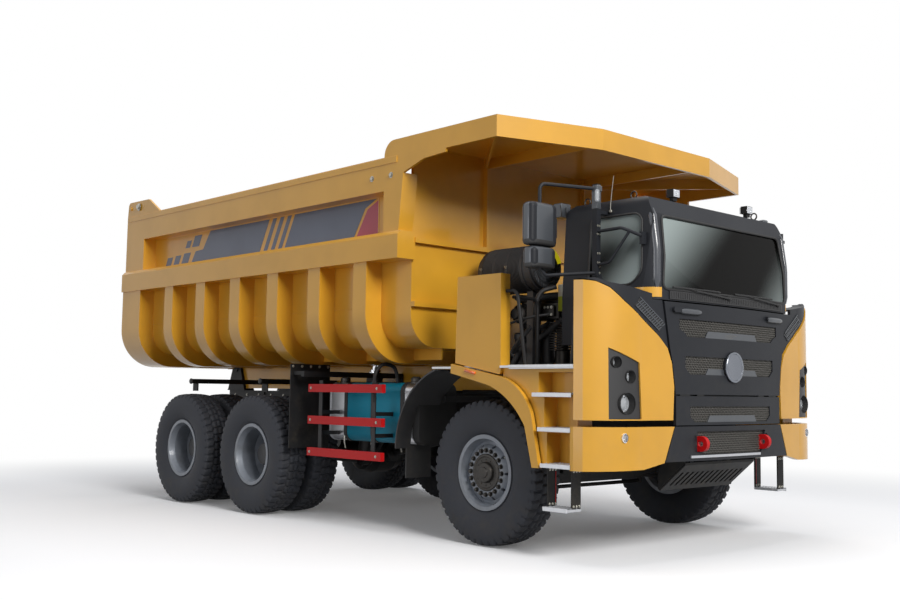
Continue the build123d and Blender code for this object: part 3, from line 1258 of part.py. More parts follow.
canopy.part.label = "canopy"
export_step(canopy.part, "parts/canopy.step")

# ------------------------------------------------------------------ tailgate
gate_face_x = bed_rear_x - 22
gate_rear_x = bed_rear_x - 230
gate_top_z = rail_top_z - 45
gate_plate = 24
gate_half_width = 1800
with BuildPart() as tailgate:
    trough(gate_half_width, bed_floor_z - 30, bed_corner_radius, gate_top_z,
           (gate_face_x - gate_plate, gate_face_x))
    for beam_z in (1980, 2420, 2860, 3300):
        front_prism([(-1640, beam_z), (1640, beam_z), (1640, beam_z + 150), (-1640, beam_z + 150)],
                    (gate_rear_x + 60, gate_face_x - gate_plate))
    block((gate_rear_x + 60, gate_face_x - gate_plate), (-gate_half_width, gate_half_width),
          (gate_top_z - 90, gate_top_z))
    for beam_y in (-1680, -840, 0, 840, 1680):
        front_prism([(beam_y - 60, 1960), (beam_y + 60, 1960), (beam_y + 60, gate_top_z - 50),
                     (beam_y - 60, gate_top_z - 50)],
                    (gate_rear_x, gate_face_x - gate_plate))
    for side in (1, -1):
        with BuildSketch(Plane.XZ.offset(-side * (top_rail_y - 76))) as arm_side:
            with BuildLine():
                Polyline((gate_pin_x, gate_pin_z - 62), (gate_pin_x - 30, gate_pin_z - 62),
                         (gate_face_x + 10, gate_top_z + 70), (gate_face_x - 8, gate_top_z + 10),
                         (gate_face_x - 8, gate_top_z - 500), (gate_face_x - 60, gate_top_z - 500),
                         (gate_face_x - 66, gate_pin_z + 5), (gate_pin_x - 30, gate_pin_z + 62),
                         (gate_pin_x, gate_pin_z + 62))
                ThreePointArc((gate_pin_x, gate_pin_z + 62), (gate_pin_x + 62, gate_pin_z),
                              (gate_pin_x, gate_pin_z - 62))
            make_face()
        extrude(arm_side.sketch, amount=side * 36)
        drum(gate_pin_x, gate_pin_z, 25, (side * (top_rail_y - 130), side * (top_rail_y - 70)),
             Mode.SUBTRACT)
        block((gate_face_x - 60, gate_face_x - 8), (side * (gate_half_width - 10), side * (top_rail_y - 76)),
              (gate_top_z - 490, gate_top_z - 50))
tailgate.part.label = "tailgate"
export_step(tailgate.part, "parts/tailgate.step")

# ------------------------------------------------------------------ hoist, telescopic, one each side
hoist_run = Vector(hoist_eye_x - hoist_base_x, 0, hoist_eye_z - hoist_base_z)
hoist_length = hoist_run.length
hoist_top = hoist_length - 75
# name, outer radius, start along the axis, end along the axis
hoist_tubes = (("hoist_barrels", 95, 90, hoist_top - 90), ("hoist_stage_1", 78, 120, hoist_top - 55),
               ("hoist_stage_2", 62, 150, hoist_top - 25), ("hoist_stage_3", 46, 180, hoist_top + 40))
hoist_wall = 13
for number, (name, radius, start, stop) in enumerate(hoist_tubes):
    with BuildPart() as hoist_tube:
        for side in (1, -1):
            base = Vector(hoist_base_x, side * hoist_y, hoist_base_z)
            with BuildSketch(Plane(origin=base + hoist_run.normalized() * start,
                                   z_dir=hoist_run)) as tube_section:
                Circle(radius)
            extrude(tube_section.sketch, amount=stop - start)
            if number < 3:
                with BuildSketch(Plane(origin=base + hoist_run.normalized() * (start + 22),
                                       z_dir=hoist_run)) as bore_section:
                    Circle(radius - hoist_wall)
                extrude(bore_section.sketch, amount=stop - start, mode=Mode.SUBTRACT)
            if number == 0:
                drum(hoist_base_x, hoist_base_z, 50,
                     (side * (hoist_y - eye_half), side * (hoist_y + eye_half)))
                with BuildSketch(Plane(origin=base, z_dir=hoist_run)) as neck:
                    Circle(eye_half)
                extrude(neck.sketch, amount=start + 10)
                drum(hoist_base_x, hoist_base_z, 31,
                     (side * (hoist_y - eye_half - 5), side * (hoist_y + eye_half + 5)), Mode.SUBTRACT)
            if number == 3:
                drum(hoist_eye_x, hoist_eye_z, 48,
                     (side * (hoist_y - eye_half), side * (hoist_y + eye_half)))
                drum(hoist_eye_x, hoist_eye_z, 28,
                     (side * (hoist_y - eye_half - 5), side * (hoist_y + eye_half + 5)), Mode.SUBTRACT)
    hoist_tube.part.label = name
    export_step(hoist_tube.part, f"parts/{name}.step")

# ------------------------------------------------------------------ lamps
with BuildPart() as lamps_outside:
    for side in (1, -1):
        block((3990, 4030), (side * 580, side * 640), (roof_z, roof_z + 30))
        block((3975, 4045), (side * 560, side * 660), (roof_z + 30, roof_z + 105))
    block((frame_rear_x - 12, frame_rear_x), (rail_y - 40, 860), (1040, 1200))
    block((frame_rear_x - 40, frame_rear_x - 12), (560, 840), (1070, 1170))
    mirror(about=Plane.XZ)
lamps_outside.part.label = "work_lamps"
export_step(lamps_outside.part, "parts/work_lamps.step")
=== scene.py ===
# %% [markdown]
# # A wide-body mining dump truck, dressed around its CAD frame
#
# The CAD model already holds the truck's steelwork, panels, wheels and joints. This notebook adds what a
# maker would see from a few steps away: tread on the tyres, wheel nuts, grille mesh, lamps, pipes, bolts,
# stripes and the finish of every surface. Every position is read from the frame or given in metres in the
# frame's own axes: X runs forward, Y to the truck's left and Z up.

# %% Load the frame
import json
import math

import bmesh
import bpy
import numpy as np
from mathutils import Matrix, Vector


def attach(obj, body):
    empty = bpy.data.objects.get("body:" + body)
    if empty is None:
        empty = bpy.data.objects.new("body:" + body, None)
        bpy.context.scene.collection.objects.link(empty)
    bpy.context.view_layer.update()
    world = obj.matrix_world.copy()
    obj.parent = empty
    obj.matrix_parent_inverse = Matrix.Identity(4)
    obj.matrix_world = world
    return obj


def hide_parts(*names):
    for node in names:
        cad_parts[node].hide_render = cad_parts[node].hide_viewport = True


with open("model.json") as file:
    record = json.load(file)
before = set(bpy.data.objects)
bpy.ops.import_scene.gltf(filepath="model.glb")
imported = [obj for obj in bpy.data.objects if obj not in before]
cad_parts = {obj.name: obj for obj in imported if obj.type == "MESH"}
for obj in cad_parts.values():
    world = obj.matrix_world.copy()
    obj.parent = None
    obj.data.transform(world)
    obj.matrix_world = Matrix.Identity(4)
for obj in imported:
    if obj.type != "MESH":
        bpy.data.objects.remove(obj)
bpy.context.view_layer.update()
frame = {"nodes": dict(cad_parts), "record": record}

nodes = frame["nodes"]

# %% [markdown]
# ## Camera, floor and light
#
# The camera stands off the right front corner, at chest height, with a lens a little longer than a normal
# one. Its yaw, pitch and roll are turned into a rotation matrix by hand, because three angles that mean
# something are easier to correct than a quaternion. Lengths on the image are counted in a frame 900 wide and
# 600 high, and the shift is small: it only puts the lens axis where the framing has it.

# %% Camera
image_width, image_height = 900.0, 600.0
focal_length = 1074.6
lens_axis = (467.9, 291.9)
camera_at = Vector((9.74, -8.614, 1.414))
yaw, pitch, roll = (math.radians(angle) for angle in (136.49, 5.33, 0.75))


def camera_axes(yaw, pitch, roll):
    """Right, up and backward axes: forward is (cos p cos y, cos p sin y, sin p); roll turns right to up."""
    forward = Vector((math.cos(pitch) * math.cos(yaw), math.cos(pitch) * math.sin(yaw), math.sin(pitch)))
    level = Vector((math.sin(yaw), -math.cos(yaw), 0.0))
    upward = level.cross(forward)
    right = math.cos(roll) * level + math.sin(roll) * upward
    return right, right.cross(forward), -forward


camera_data = bpy.data.cameras.new("camera")
camera = bpy.data.objects.new("camera", camera_data)
bpy.context.scene.collection.objects.link(camera)
camera_data.sensor_width = 36.0
camera_data.lens = focal_length / image_width * camera_data.sensor_width
camera_data.shift_x = (image_width / 2 - lens_axis[0]) / image_width
camera_data.shift_y = (lens_axis[1] - image_height / 2) / image_width
camera_data.clip_end = 200.0
right, up, back = camera_axes(yaw, pitch, roll)
matrix = camera.matrix_world.copy()
for row in range(3):
    matrix[row][0], matrix[row][1], matrix[row][2] = right[row], up[row], back[row]
    matrix[row][3] = camera_at[row]
camera.matrix_world = matrix
bpy.context.scene.camera = camera
print("lens", round(camera_data.lens, 2), "mm, shift", round(camera_data.shift_x, 4),
      round(camera_data.shift_y, 4))

# %% [markdown]
# ## Materials as arithmetic
#
# A finish is a formula, such as paint mixed with dust by a mask, but built by hand it hides in a tangle of
# Math nodes. So one small class wraps a socket and turns + - * / into nodes, and a second holds one material
# and adds any other node in a single call. A recipe then reads as the sum that it is.

# %% Shader wrapper
class Value:
    """One socket in a material. Its operators add Math nodes, so shader maths reads like arithmetic."""

    def __init__(self, shader, socket):
        self.shader, self.socket = shader, socket

    def math(self, operation, *others):
        """One Math node with this socket as its first input."""
        return self.shader.node("Math", {"operation": operation}, dict(enumerate((self, *others))))

    def __add__(self, other): return self.math("ADD", other)
    def __radd__(self, other): return self.math("ADD", other)
    def __sub__(self, other): return self.math("SUBTRACT", other)
    def __rsub__(self, other): return self.shader.node("Math", {"operation": "SUBTRACT"}, {0: other, 1: self})
    def __mul__(self, other): return self.math("MULTIPLY", other)
    def __rmul__(self, other): return self.math("MULTIPLY", other)
    def __truediv__(self, other): return self.math("DIVIDE", other)
    def __abs__(self): return self.math("ABSOLUTE")
    def clamped(self): return self.shader.node("Clamp", {}, {"Value": self})

    def step(self, low, high):
        """A smooth ramp that is 0 below low and 1 above high."""
        return self.shader.node("MapRange", {"interpolation_type": "SMOOTHSTEP"},
                                {"Value": self, "From Min": low, "From Max": high})


class Shader:
    """A material with one Principled shader, whose nodes are added by the calls below."""

    def __init__(self, name):
        self.material = bpy.data.materials.new(name)
        self.material.use_nodes = True
        self.tree = self.material.node_tree
        self.tree.nodes.clear()
        self.surface = self.tree.nodes.new("ShaderNodeBsdfPrincipled")
        self.output = self.tree.nodes.new("ShaderNodeOutputMaterial")
        self.tree.links.new(self.surface.outputs[0], self.output.inputs["Surface"])
        coordinates = self.tree.nodes.new("ShaderNodeTexCoord")
        self.place = Value(self, coordinates.outputs["Object"])

    def plug(self, socket, value):
        """Links a node's value to a socket, or sets the socket to a plain number or colour."""
        if isinstance(value, Value):
            self.tree.links.new(value.socket, socket)
        else:
            socket.default_value = value

    def node(self, kind, settings, inputs):
        """Adds a node of this kind: settings first, then its sockets, each a number or a node's value."""
        made = self.tree.nodes.new("ShaderNode" + kind)
        for key, value in settings.items():
            setattr(made, key, value)
        for key, value in inputs.items():
            self.plug(made.inputs[key], value)
        return Value(self, made.outputs[0])

    def axes(self):
        """The object's own x, y and z in metres, as three values."""
        split = self.node("SeparateXYZ", {}, {0: self.place})
        return [Value(self, split.socket.node.outputs[axis]) for axis in range(3)]

    def scaled(self, factor):
        """Object coordinates, each multiplied by its own factor."""
        return self.node("Mapping", {}, {"Vector": self.place, "Scale": factor})

    def noise(self, scale, detail=2.0, roughness=0.5, place=None):
        """Fractal noise with the given number of cells per metre."""
        return self.node("TexNoise", {}, {"Vector": place or self.place, "Scale": scale, "Detail": detail,
                                          "Roughness": roughness})

    def mix(self, factor, first, second):
        """A colour between two others."""
        mixer = self.tree.nodes.new("ShaderNodeMix")
        mixer.data_type = "RGBA"
        for socket, value in zip((mixer.inputs[0], mixer.inputs[6], mixer.inputs[7]),
                                 (factor, first, second)):
            self.plug(socket, value)
        return Value(self, mixer.outputs[2])

    def bump(self, height, strength, distance):
        """A normal tilted by a height field, distance being the height in metres that 1 stands for."""
        return self.node("Bump", {}, {"Height": height, "Strength": strength, "Distance": distance})

    def finish(self, **sockets):
        """Plugs each named number, colour or value into the surface and hands back the material."""
        names = {"color": "Base Color", "rough": "Roughness", "metal": "Metallic", "coat": "Coat Weight",
                 "alpha": "Alpha", "normal": "Normal", "glow": "Emission Color",
                 "glow_strength": "Emission Strength", "coat_rough": "Coat Roughness",
                 "specular": "Specular IOR Level"}
        for key, value in sockets.items():
            self.plug(self.surface.inputs[names[key]], value)
        return self.material


def rgb(red, green, blue):
    """A colour as seen, in steps of 0 to 255, made linear: below 0.04045 over 12.92, else the 2.4 power."""
    def linear(step):
        level = step / 255
        return level / 12.92 if level <= 0.04045 else ((level + 0.055) / 1.055) ** 2.4
    return (linear(red), linear(green), linear(blue), 1.0)


print("mid grey 128 is", round(rgb(128, 128, 128)[0], 4), "in linear light")

# %% [markdown]
# ## Floor and light
#
# The truck stands on pale paper, as in a studio. A white floor would throw so much light back that the
# colours under the bed turned pale, so it is dull to the lamps and pale to the camera, which Light Path tells
# apart. Far from the truck it turns to plain white, and so does the world. The lamps stay at a level at which
# a colour renders about as it is written.

# %% Floor and world
PALE, DULL = rgb(247, 249, 253), rgb(120, 120, 118)


def light_path(tree):
    """1 for camera, glossy and transmission rays, so that lenses and chrome see what the camera sees."""
    path = tree.nodes.new("ShaderNodeLightPath")
    level = path.outputs["Is Camera Ray"]
    for name in ("Is Glossy Ray", "Is Transmission Ray"):
        either = tree.nodes.new("ShaderNodeMath")
        either.operation = "MAXIMUM"
        tree.links.new(level, either.inputs[0])
        tree.links.new(path.outputs[name], either.inputs[1])
        level = either.outputs[0]
    return level


def floor_paper():
    """Pale paper, as seen, that turns to plain white from 6 to 12 m away; it throws back little light."""
    shader = Shader("floor_paper")
    seen = Value(shader, light_path(shader.tree))
    x, y, _ = shader.axes()
    away = (x * x + y * y).math("SQRT").step(6.0, 12.0)
    black, white = (0, 0, 0, 1), (1, 1, 1, 1)
    lift = (seen * (0.10 + 0.90 * away)).clamped()
    paper = shader.mix(seen * (1 - away), shader.mix(away, DULL, black), PALE)
    return shader.finish(color=paper, rough=0.9, specular=0.0, glow=shader.mix(lift, black, white),
                         glow_strength=1.0)


floor_half = 90.0
floor_mesh = bpy.data.meshes.new("floor")
floor_mesh.from_pydata([(-floor_half, -floor_half, 0), (floor_half, -floor_half, 0),
                        (floor_half, floor_half, 0), (-floor_half, floor_half, 0)], [], [(0, 1, 2, 3)])
floor = bpy.data.objects.new("floor", floor_mesh)
bpy.context.scene.collection.objects.link(floor)
floor_mesh.materials.append(floor_paper())

world = bpy.data.worlds.new("studio")
bpy.context.scene.world = world
world.use_nodes = True
tree = world.node_tree
tree.nodes.clear()
soft = tree.nodes.new("ShaderNodeBackground")
soft.inputs["Color"].default_value = (0.95, 0.97, 1.0, 1.0)
soft.inputs["Strength"].default_value = 0.15
white = tree.nodes.new("ShaderNodeBackground")
white.inputs["Color"].default_value = (1.0, 1.0, 1.0, 1.0)
white.inputs["Strength"].default_value = 1.0
choose = tree.nodes.new("ShaderNodeMixShader")
result = tree.nodes.new("ShaderNodeOutputWorld")
tree.links.new(light_path(tree), choose.inputs[0])
tree.links.new(soft.outputs[0], choose.inputs[1])
tree.links.new(white.outputs[0], choose.inputs[2])
tree.links.new(choose.outputs[0], result.inputs[0])
bpy.context.scene.view_settings.view_transform = "Standard"

# name, place, aim, size, watts, colour
lamps = (("key", (16.0, -5.0, 9.5), (0.0, 0, 1.6), 6.0, 2450, (1.0, 0.98, 0.95)),
         ("side", (0.0, -16.0, 3.0), (0.0, 0, 1.8), 6.0, 330, (0.98, 0.98, 1.0)),
         ("top", (0.0, 0.0, 14.0), (0, 0, 0), 11.0, 1000, (1.0, 0.99, 0.98)),
         ("back", (-9.0, 9.0, 8.0), (0, 0, 1.8), 7.0, 300, (0.94, 0.97, 1.0)))
for name, place, aim, size, watts, color in lamps:
    data = bpy.data.lights.new("lamp_" + name, "AREA")
    data.size, data.energy, data.color = size, watts, color
    light = bpy.data.objects.new("lamp_" + name, data)
    light.location = place
    light.rotation_euler = (Vector(aim) - Vector(place)).to_track_quat("-Z", "Y").to_euler()
    bpy.context.scene.collection.objects.link(light)
print("floor, world and", len(lamps), "lamps of", sum(lamp[4] for lamp in lamps), "W")

# %% [markdown]
# ## Finishes
#
# Paint on a working machine is never one flat colour: it has a faint orange peel, a little dust that gathers
# low down and on ledges, and a clear coat that shines. The same recipe serves every painted part, so it is a
# function of a colour and a few amounts. Dust is a mask of noise times height above the ground, read in
# object metres.

# %% Painted steel
def paint(name, color, rough=0.38, coat=0.45, dust=0.35, peel=0.12, metal=0.0, shade=0.90, dust_top=2.2,
          behind=None, specular=0.5):
    """Colour falls to shade times itself in broad noise; dust is noise x (1 - z / dust_top) x its amount.

    behind is (y, colour): past that y, inward, the second colour takes over."""
    shader = Shader(name)
    x, y, z = shader.axes()
    dark = tuple(part * shade for part in color[:3]) + (1.0,)
    broad = shader.noise(1.7, 3.0)
    base = shader.mix(broad.step(0.35, 0.7), color, dark)
    if behind:
        base = shader.mix(y.step(behind[0], behind[0] + 0.0005), base, behind[1])
    low = 1 - (z / dust_top).clamped()
    speck = shader.noise(9.0, 5.0, 0.65)
    dusty = (speck.step(0.42, 0.75) * low * dust).clamped()
    toned = shader.mix(dusty, base, rgb(132, 120, 98))
    fine = shader.noise(420.0, 1.0)
    skin = shader.bump(fine, peel, 0.0006)
    return shader.finish(color=toned, rough=rough + 0.12 * broad + 0.35 * dusty, metal=metal,
                         coat=coat * (1 - dusty), coat_rough=0.12, normal=skin, specular=specular)


body_yellow = paint("yellow_paint", rgb(222, 164, 44), rough=0.34, coat=0.45, dust=0.10)
cab_grey = paint("cab_grey_paint", rgb(34, 36, 41), rough=0.46, specular=0.2, coat=0.03, dust=0.06, peel=0.3)
chassis_black = paint("chassis_black_paint", rgb(16, 16, 18), rough=0.52, specular=0.25, coat=0.04, dust=0.12)
rim_grey = paint("rim_grey_paint", rgb(128, 133, 142), rough=0.42, coat=0.3, dust=0.4, metal=0.25,
                 dust_top=1.6)
red_paint = paint("red_paint", rgb(196, 8, 14), rough=0.46, specular=0.3, coat=0.12, dust=0.04)
ladder_paint = paint("ladder_paint", rgb(196, 8, 14), rough=0.46, specular=0.3, coat=0.12, dust=0.04,
                     behind=(-1.7515, rgb(14, 14, 16)))
slate_stripe = paint("slate_stripe_film", rgb(84, 94, 116), rough=0.42, coat=0.3, dust=0.1)
maroon_stripe = paint("maroon_stripe_film", rgb(176, 62, 84), rough=0.42, coat=0.3, dust=0.1)
strip_yellow = paint("yellow_film", rgb(222, 164, 44), rough=0.36, coat=0.5, dust=0.1)
tank_grey = paint("tank_grey_paint", rgb(62, 64, 66), rough=0.45, coat=0.2, dust=0.5)
mirror_grey = paint("mirror_gunmetal", rgb(72, 76, 82), rough=0.36, coat=0.4, dust=0.1, metal=0.35)
teal_film = paint("teal_film", rgb(0, 134, 164), rough=0.40, coat=0.0, dust=0.02, specular=0.3)
mesh_grey = paint("mesh_grey", rgb(92, 90, 86), rough=0.5, coat=0.1, dust=0.0)
post_paint = paint("pillar_paint", rgb(58, 62, 70), rough=0.22, coat=0.6, dust=0.0, peel=0.05)
print("paints", len([m for m in bpy.data.materials if "paint" in m.name]))

# %% [markdown]
# Bare and plated metals differ in the grain that tooling leaves. The tread plate is galvanised, so it is
# pale, blotchy and half rough. The tank is rolled aluminium, brushed round its section, so its grain is noise
# that is stretched along X. Hoist rods are ground and chromed, so they are nearly a mirror.

# %% Metals
def metal_finish(name, color, rough, stretch=(1, 1, 1), grain=60.0, contrast=0.2, strength=0.1):
    """Colour and roughness follow one noise: grain cells per metre, divided by stretch on each axis."""
    shader = Shader(name)
    wave = shader.noise(grain, 3.0, 0.6, shader.scaled(stretch))
    dark = tuple(part * (1 - contrast) for part in color[:3]) + (1.0,)
    toned = shader.mix(wave, dark, color)
    return shader.finish(color=toned, metal=1.0, rough=rough + 0.18 * (wave - 0.5),
                         normal=shader.bump(wave, strength, 0.0008))


tread_steel = metal_finish("galvanised_steel", rgb(196, 198, 202), 0.42, grain=34.0, contrast=0.22)
tank_aluminium = metal_finish("brushed_aluminium", rgb(206, 208, 212), 0.34, (0.15, 6, 6), 55.0, 0.16)
rod_chrome = metal_finish("hard_chrome", rgb(222, 224, 228), 0.08, grain=20.0, contrast=0.04, strength=0.02)
bolt_steel = metal_finish("zinc_bolt", rgb(170, 168, 160), 0.35, grain=80.0)
dark_steel = metal_finish("oiled_steel", rgb(70, 68, 66), 0.42, grain=45.0, contrast=0.35)
cast_alloy = metal_finish("cast_alloy", rgb(150, 150, 148), 0.55, grain=240.0, contrast=0.3, strength=0.3)
badge_metal = metal_finish("badge_metal", rgb(128, 132, 140), 0.20, grain=12.0, contrast=0.12, strength=0.02)
reflector = metal_finish("lamp_reflector", rgb(228, 230, 234), 0.12, grain=30.0, contrast=0.1)
mirror_glass = metal_finish("mirror_silver", rgb(190, 196, 202), 0.03, grain=5.0, contrast=0.02, strength=0.0)
print("materials so far", len(bpy.data.materials))

# %% [markdown]
# Plastics and rubber scatter light from a grained skin. The grain is a fine Voronoi bump, and rubber adds a
# brown bloom of dust that settles in the tread and on the shoulders.

# %% Plastics and rubber
def grained(name, color, rough, cells, depth, dust=0.2, dust_top=1.5):
    """Height is the distance to the nearest of random points, cells per metre; dust lightens low parts."""
    shader = Shader(name)
    x, y, z = shader.axes()
    cell = shader.node("TexVoronoi", {}, {"Vector": shader.place, "Scale": cells})
    speck = shader.noise(7.0, 4.0, 0.6)
    dusty = (speck.step(0.4, 0.8) * (1 - (z / dust_top).clamped()) * dust).clamped()
    toned = shader.mix(dusty, color, rgb(120, 110, 92))
    return shader.finish(color=toned, rough=rough + 0.2 * dusty + 0.1 * (speck - 0.5),
                         normal=shader.bump(cell, 0.35, depth))


black_plastic = grained("black_plastic", rgb(30, 30, 32), 0.52, 700.0, 0.0005)
soft_black = grained("rubber_seal", rgb(22, 22, 23), 0.62, 500.0, 0.0004, dust=0.1)
tyre_rubber = grained("tyre_rubber", rgb(32, 35, 43), 0.74, 260.0, 0.0010, dust=0.12)
seat_cloth = grained("seat_cloth", rgb(58, 60, 64), 0.9, 900.0, 0.0010, dust=0.0)
hose_rubber = grained("hose_rubber", rgb(26, 26, 28), 0.55, 300.0, 0.0006, dust=0.1)
print("black plastic is", [round(part, 4) for part in rgb(30, 30, 32)[:3]], "in linear light")

# %% [markdown]
# The cab's glass is nearly black, because little light gets out of a cab: this is painted shade for the cab
# behind it. Where the glass would mirror the sky it has a pale painted reflection. A real reflection would
# need the yard around the truck, so the painted reflection is a mask in object metres: it stays on the glass
# from every side. Lamp lenses are thin and let the bowl behind them show. The coolant stands at a level in
# its bottle, which is a step in z.

# %% Glass, lenses and fluids
def glazing(name, color, alpha, rough=0.04, metal=0.0, coat=0.5, specular=0.5):
    """Thin tinted glass: an opaque coat over a colour whose alpha lets the inside show."""
    shader = Shader(name)
    haze = shader.noise(2.3, 3.0)
    shader.material.surface_render_method = "BLENDED"
    return shader.finish(color=color, rough=rough + 0.05 * haze, metal=metal, alpha=alpha + 0.04 * haze,
                         coat=coat, specular=specular)


def cab_glazing():
    """Nearly black glass, painted shade for the cab inside, with a painted reflection low on the side windows
    and at two corners of the windscreen, under noise.
    """
    shader = Shader("tinted_glass")
    x, y, z = shader.axes()
    drift = 0.25 * shader.noise(0.9, 2.0)
    beside = (abs(y)).step(1.06, 1.10)
    window = (1.2 * (x - 3.45) - 1.1 * (z - 2.55) + drift).step(0.15, 0.95)
    left_top = (1.2 * (z - 3.0) - y + drift).step(-0.15, 1.05)
    low_right = (y - 1.06 * (z - 2.35) + drift).step(0.50, 1.30)
    painted_reflection = beside * window + (1 - beside) * (left_top + 0.7 * low_right).clamped()
    # rgb(7, 6, 5) is painted shade for the dark cab inside; rgb(160, 172, 172) is the painted reflection.
    color = shader.mix(painted_reflection, rgb(7, 6, 5), rgb(160, 172, 172))
    shader.material.surface_render_method = "BLENDED"
    return shader.finish(color=color, rough=0.05 + 0.04 * painted_reflection, alpha=0.93 + 0.02 * painted_reflection, coat=0.0,
                         specular=0.06)


cab_glass_dark = cab_glazing()
lens_clear = glazing("lamp_lens", rgb(205, 210, 216), 0.42, rough=0.05)
amber_lens = glazing("amber_lens", rgb(238, 108, 12), 0.92, rough=0.12)
red_lens = glazing("red_lens", rgb(180, 16, 18), 0.92, rough=0.12)
coolant_shader = Shader("coolant_bottle")
level = coolant_shader.axes()[2].step(2.325, 2.33)
coolant_bottle_skin = coolant_shader.finish(
    color=coolant_shader.mix(level, rgb(178, 196, 40), rgb(214, 214, 196)), rough=0.3 + 0.1 * level, coat=0.2)
print("materials so far", len(bpy.data.materials))

# %% [markdown]
# The frame says which slot each CAD node belongs to, such as glass or body_yellow, and one table turns a slot
# into a finish. The side ladder is red tube in front and black bracket behind, so it gets a paint of its own.

# %% Give every CAD node its finish
finish_by_slot = {"body_yellow": body_yellow, "cab_grey": cab_grey, "glass": cab_glass_dark,
                  "chassis_black": chassis_black, "black_plastic": black_plastic, "lens": lens_clear,
                  "rod_chrome": rod_chrome, "red_paint": red_paint, "tread_steel": tread_steel,
                  "tank_aluminium": tank_aluminium, "tank_grey": tank_grey, "seat_cloth": seat_cloth,
                  "coolant_plastic": coolant_bottle_skin, "tyre": tyre_rubber, "rim_grey": rim_grey}
slot_of = {part["node"]: part["material_slot"] for part in frame["record"]["subparts"]}


def dress(node, material):
    """Puts one material in every slot of a CAD node, whose mesh isn't touched."""
    for index in range(len(nodes[node].material_slots)):
        nodes[node].material_slots[index].material = material


for node, slot in slot_of.items():
    dress(node, finish_by_slot[slot])
dress("side_ladder", ladder_paint)
print("finished", len(slot_of), "nodes")

# %% [markdown]
# ## Shapes from arrays
#
# Each shape below is a pair: an array of points and a list of faces. A shape is worked out whole, by a
# formula on arrays, then stacked with others, copied to many places, and turned into one Blender mesh. The
# same few helpers make nuts, pipes, straps, tread and mesh.

# %% Faces on a grid, stacks and lofts
def grid_faces(rows, columns, wrap_rows=False, wrap_columns=False):
    """Quads between neighbours (i, j), (i, j+1), (i+1, j+1), (i+1, j); closed edges wrap round."""
    i = np.arange(rows if wrap_rows else rows - 1)
    j = np.arange(columns if wrap_columns else columns - 1)
    i, j = np.meshgrid(i, j, indexing="ij")
    below, beside = (i + 1) % rows, (j + 1) % columns
    quads = np.stack([i * columns + j, i * columns + beside, below * columns + beside,
                      below * columns + j], -1)
    return quads.reshape(-1, 4).tolist()


def stack(*shapes):
    """One shape from several: points are joined, and each shape's faces move up by the points before it."""
    faces, count = [], 0
    for points, shape_faces in shapes:
        faces += [[index + count for index in face] for face in shape_faces]
        count += len(points)
    return np.concatenate([points for points, _ in shapes]), faces


def loft(rings):
    """A closed skin over rings of equal count: rings[i, j] are points, and the two end rings are capped."""
    count, sides = rings.shape[:2]
    faces = grid_faces(count, sides, wrap_columns=True)
    faces += [list(range(sides))[::-1], list(range((count - 1) * sides, count * sides))]
    return rings.reshape(-1, 3), faces


print("a loft of 3 rings of 8 has", len(loft(np.zeros((3, 8, 3)))[1]), "faces")

# %% [markdown]
# Pipes, rails and hoses are circles carried along a path. Blender's curves could bevel them, but a formula
# keeps them in the same arrays as the rest. Corners become short arcs first, as a tube bender makes them, and
# each circle is drawn on two normals that follow the path without twisting.

# %% Bars and hoses along a path
def frames_along(path):
    """Unit tangent and two normals at each point; the first normal is the path's flattest direction."""
    tangent = np.gradient(path, axis=0)
    tangent /= np.linalg.norm(tangent, axis=1)[:, None]
    spread = np.linalg.svd(path - path.mean(0), full_matrices=True)[2]
    flat = spread[-1]
    first = flat - (tangent @ flat)[:, None] * tangent
    first /= np.linalg.norm(first, axis=1)[:, None]
    return tangent, first, np.cross(tangent, first)


def rounded(points, radius, steps=6):
    """A path whose inner corners become arcs a (1-t)^2 + 2 c t (1-t) + b t^2 between the run's cuts."""
    points = np.asarray(points, float)
    t = np.linspace(0, 1, steps)[:, None]
    made = [points[:1]]
    for before, corner, after in zip(points[:-2], points[1:-1], points[2:]):
        into, out = before - corner, after - corner
        lengths = np.linalg.norm(into), np.linalg.norm(out)
        cut = min(radius, 0.48 * lengths[0], 0.48 * lengths[1])
        a, b = corner + into / lengths[0] * cut, corner + out / lengths[1] * cut
        made.append(a * (1 - t) ** 2 + 2 * corner * t * (1 - t) + b * t ** 2)
    made.append(points[-1:])
    return np.concatenate(made)


def pipe(points, radius, bend=0.0, sides=12):
    """A round bar along a path: centre + r (cos a first + sin a second) for every point and angle."""
    path = rounded(points, bend) if bend else np.asarray(points, float)
    _, first, second = frames_along(path)
    a = np.linspace(0, 2 * np.pi, sides, endpoint=False)
    radius = np.broadcast_to(radius, len(path))[:, None, None]
    return loft(path[:, None] + radius * (np.cos(a)[None, :, None] * first[:, None]
                                          + np.sin(a)[None, :, None] * second[:, None]))


def ribbed_hose(points, radius, bend, pitch=0.012, depth=0.12):
    """A pipe resampled every quarter pitch, whose radius is r (1 - depth cos^2(pi s / pitch)) at length s."""
    path = rounded(points, bend, 12)
    along = np.concatenate([[0], np.cumsum(np.linalg.norm(np.diff(path, axis=0), axis=1))])
    s = np.arange(0, along[-1], pitch / 4)
    path = np.stack([np.interp(s, along, path[:, axis]) for axis in range(3)], 1)
    return pipe(path, radius * (1 - depth * np.cos(np.pi * s / pitch) ** 2))


print("a bend adds", len(rounded([(0, 0, 0), (1, 0, 0), (1, 1, 0)], 0.1)) - 3, "points to a path")

# %% [markdown]
# Plates and boxes have their edges cut, because a bare edge never catches the light. Drums, caps and lenses
# are turned from a profile, as on a lathe, and flat parts are an outline carried from one level to another.

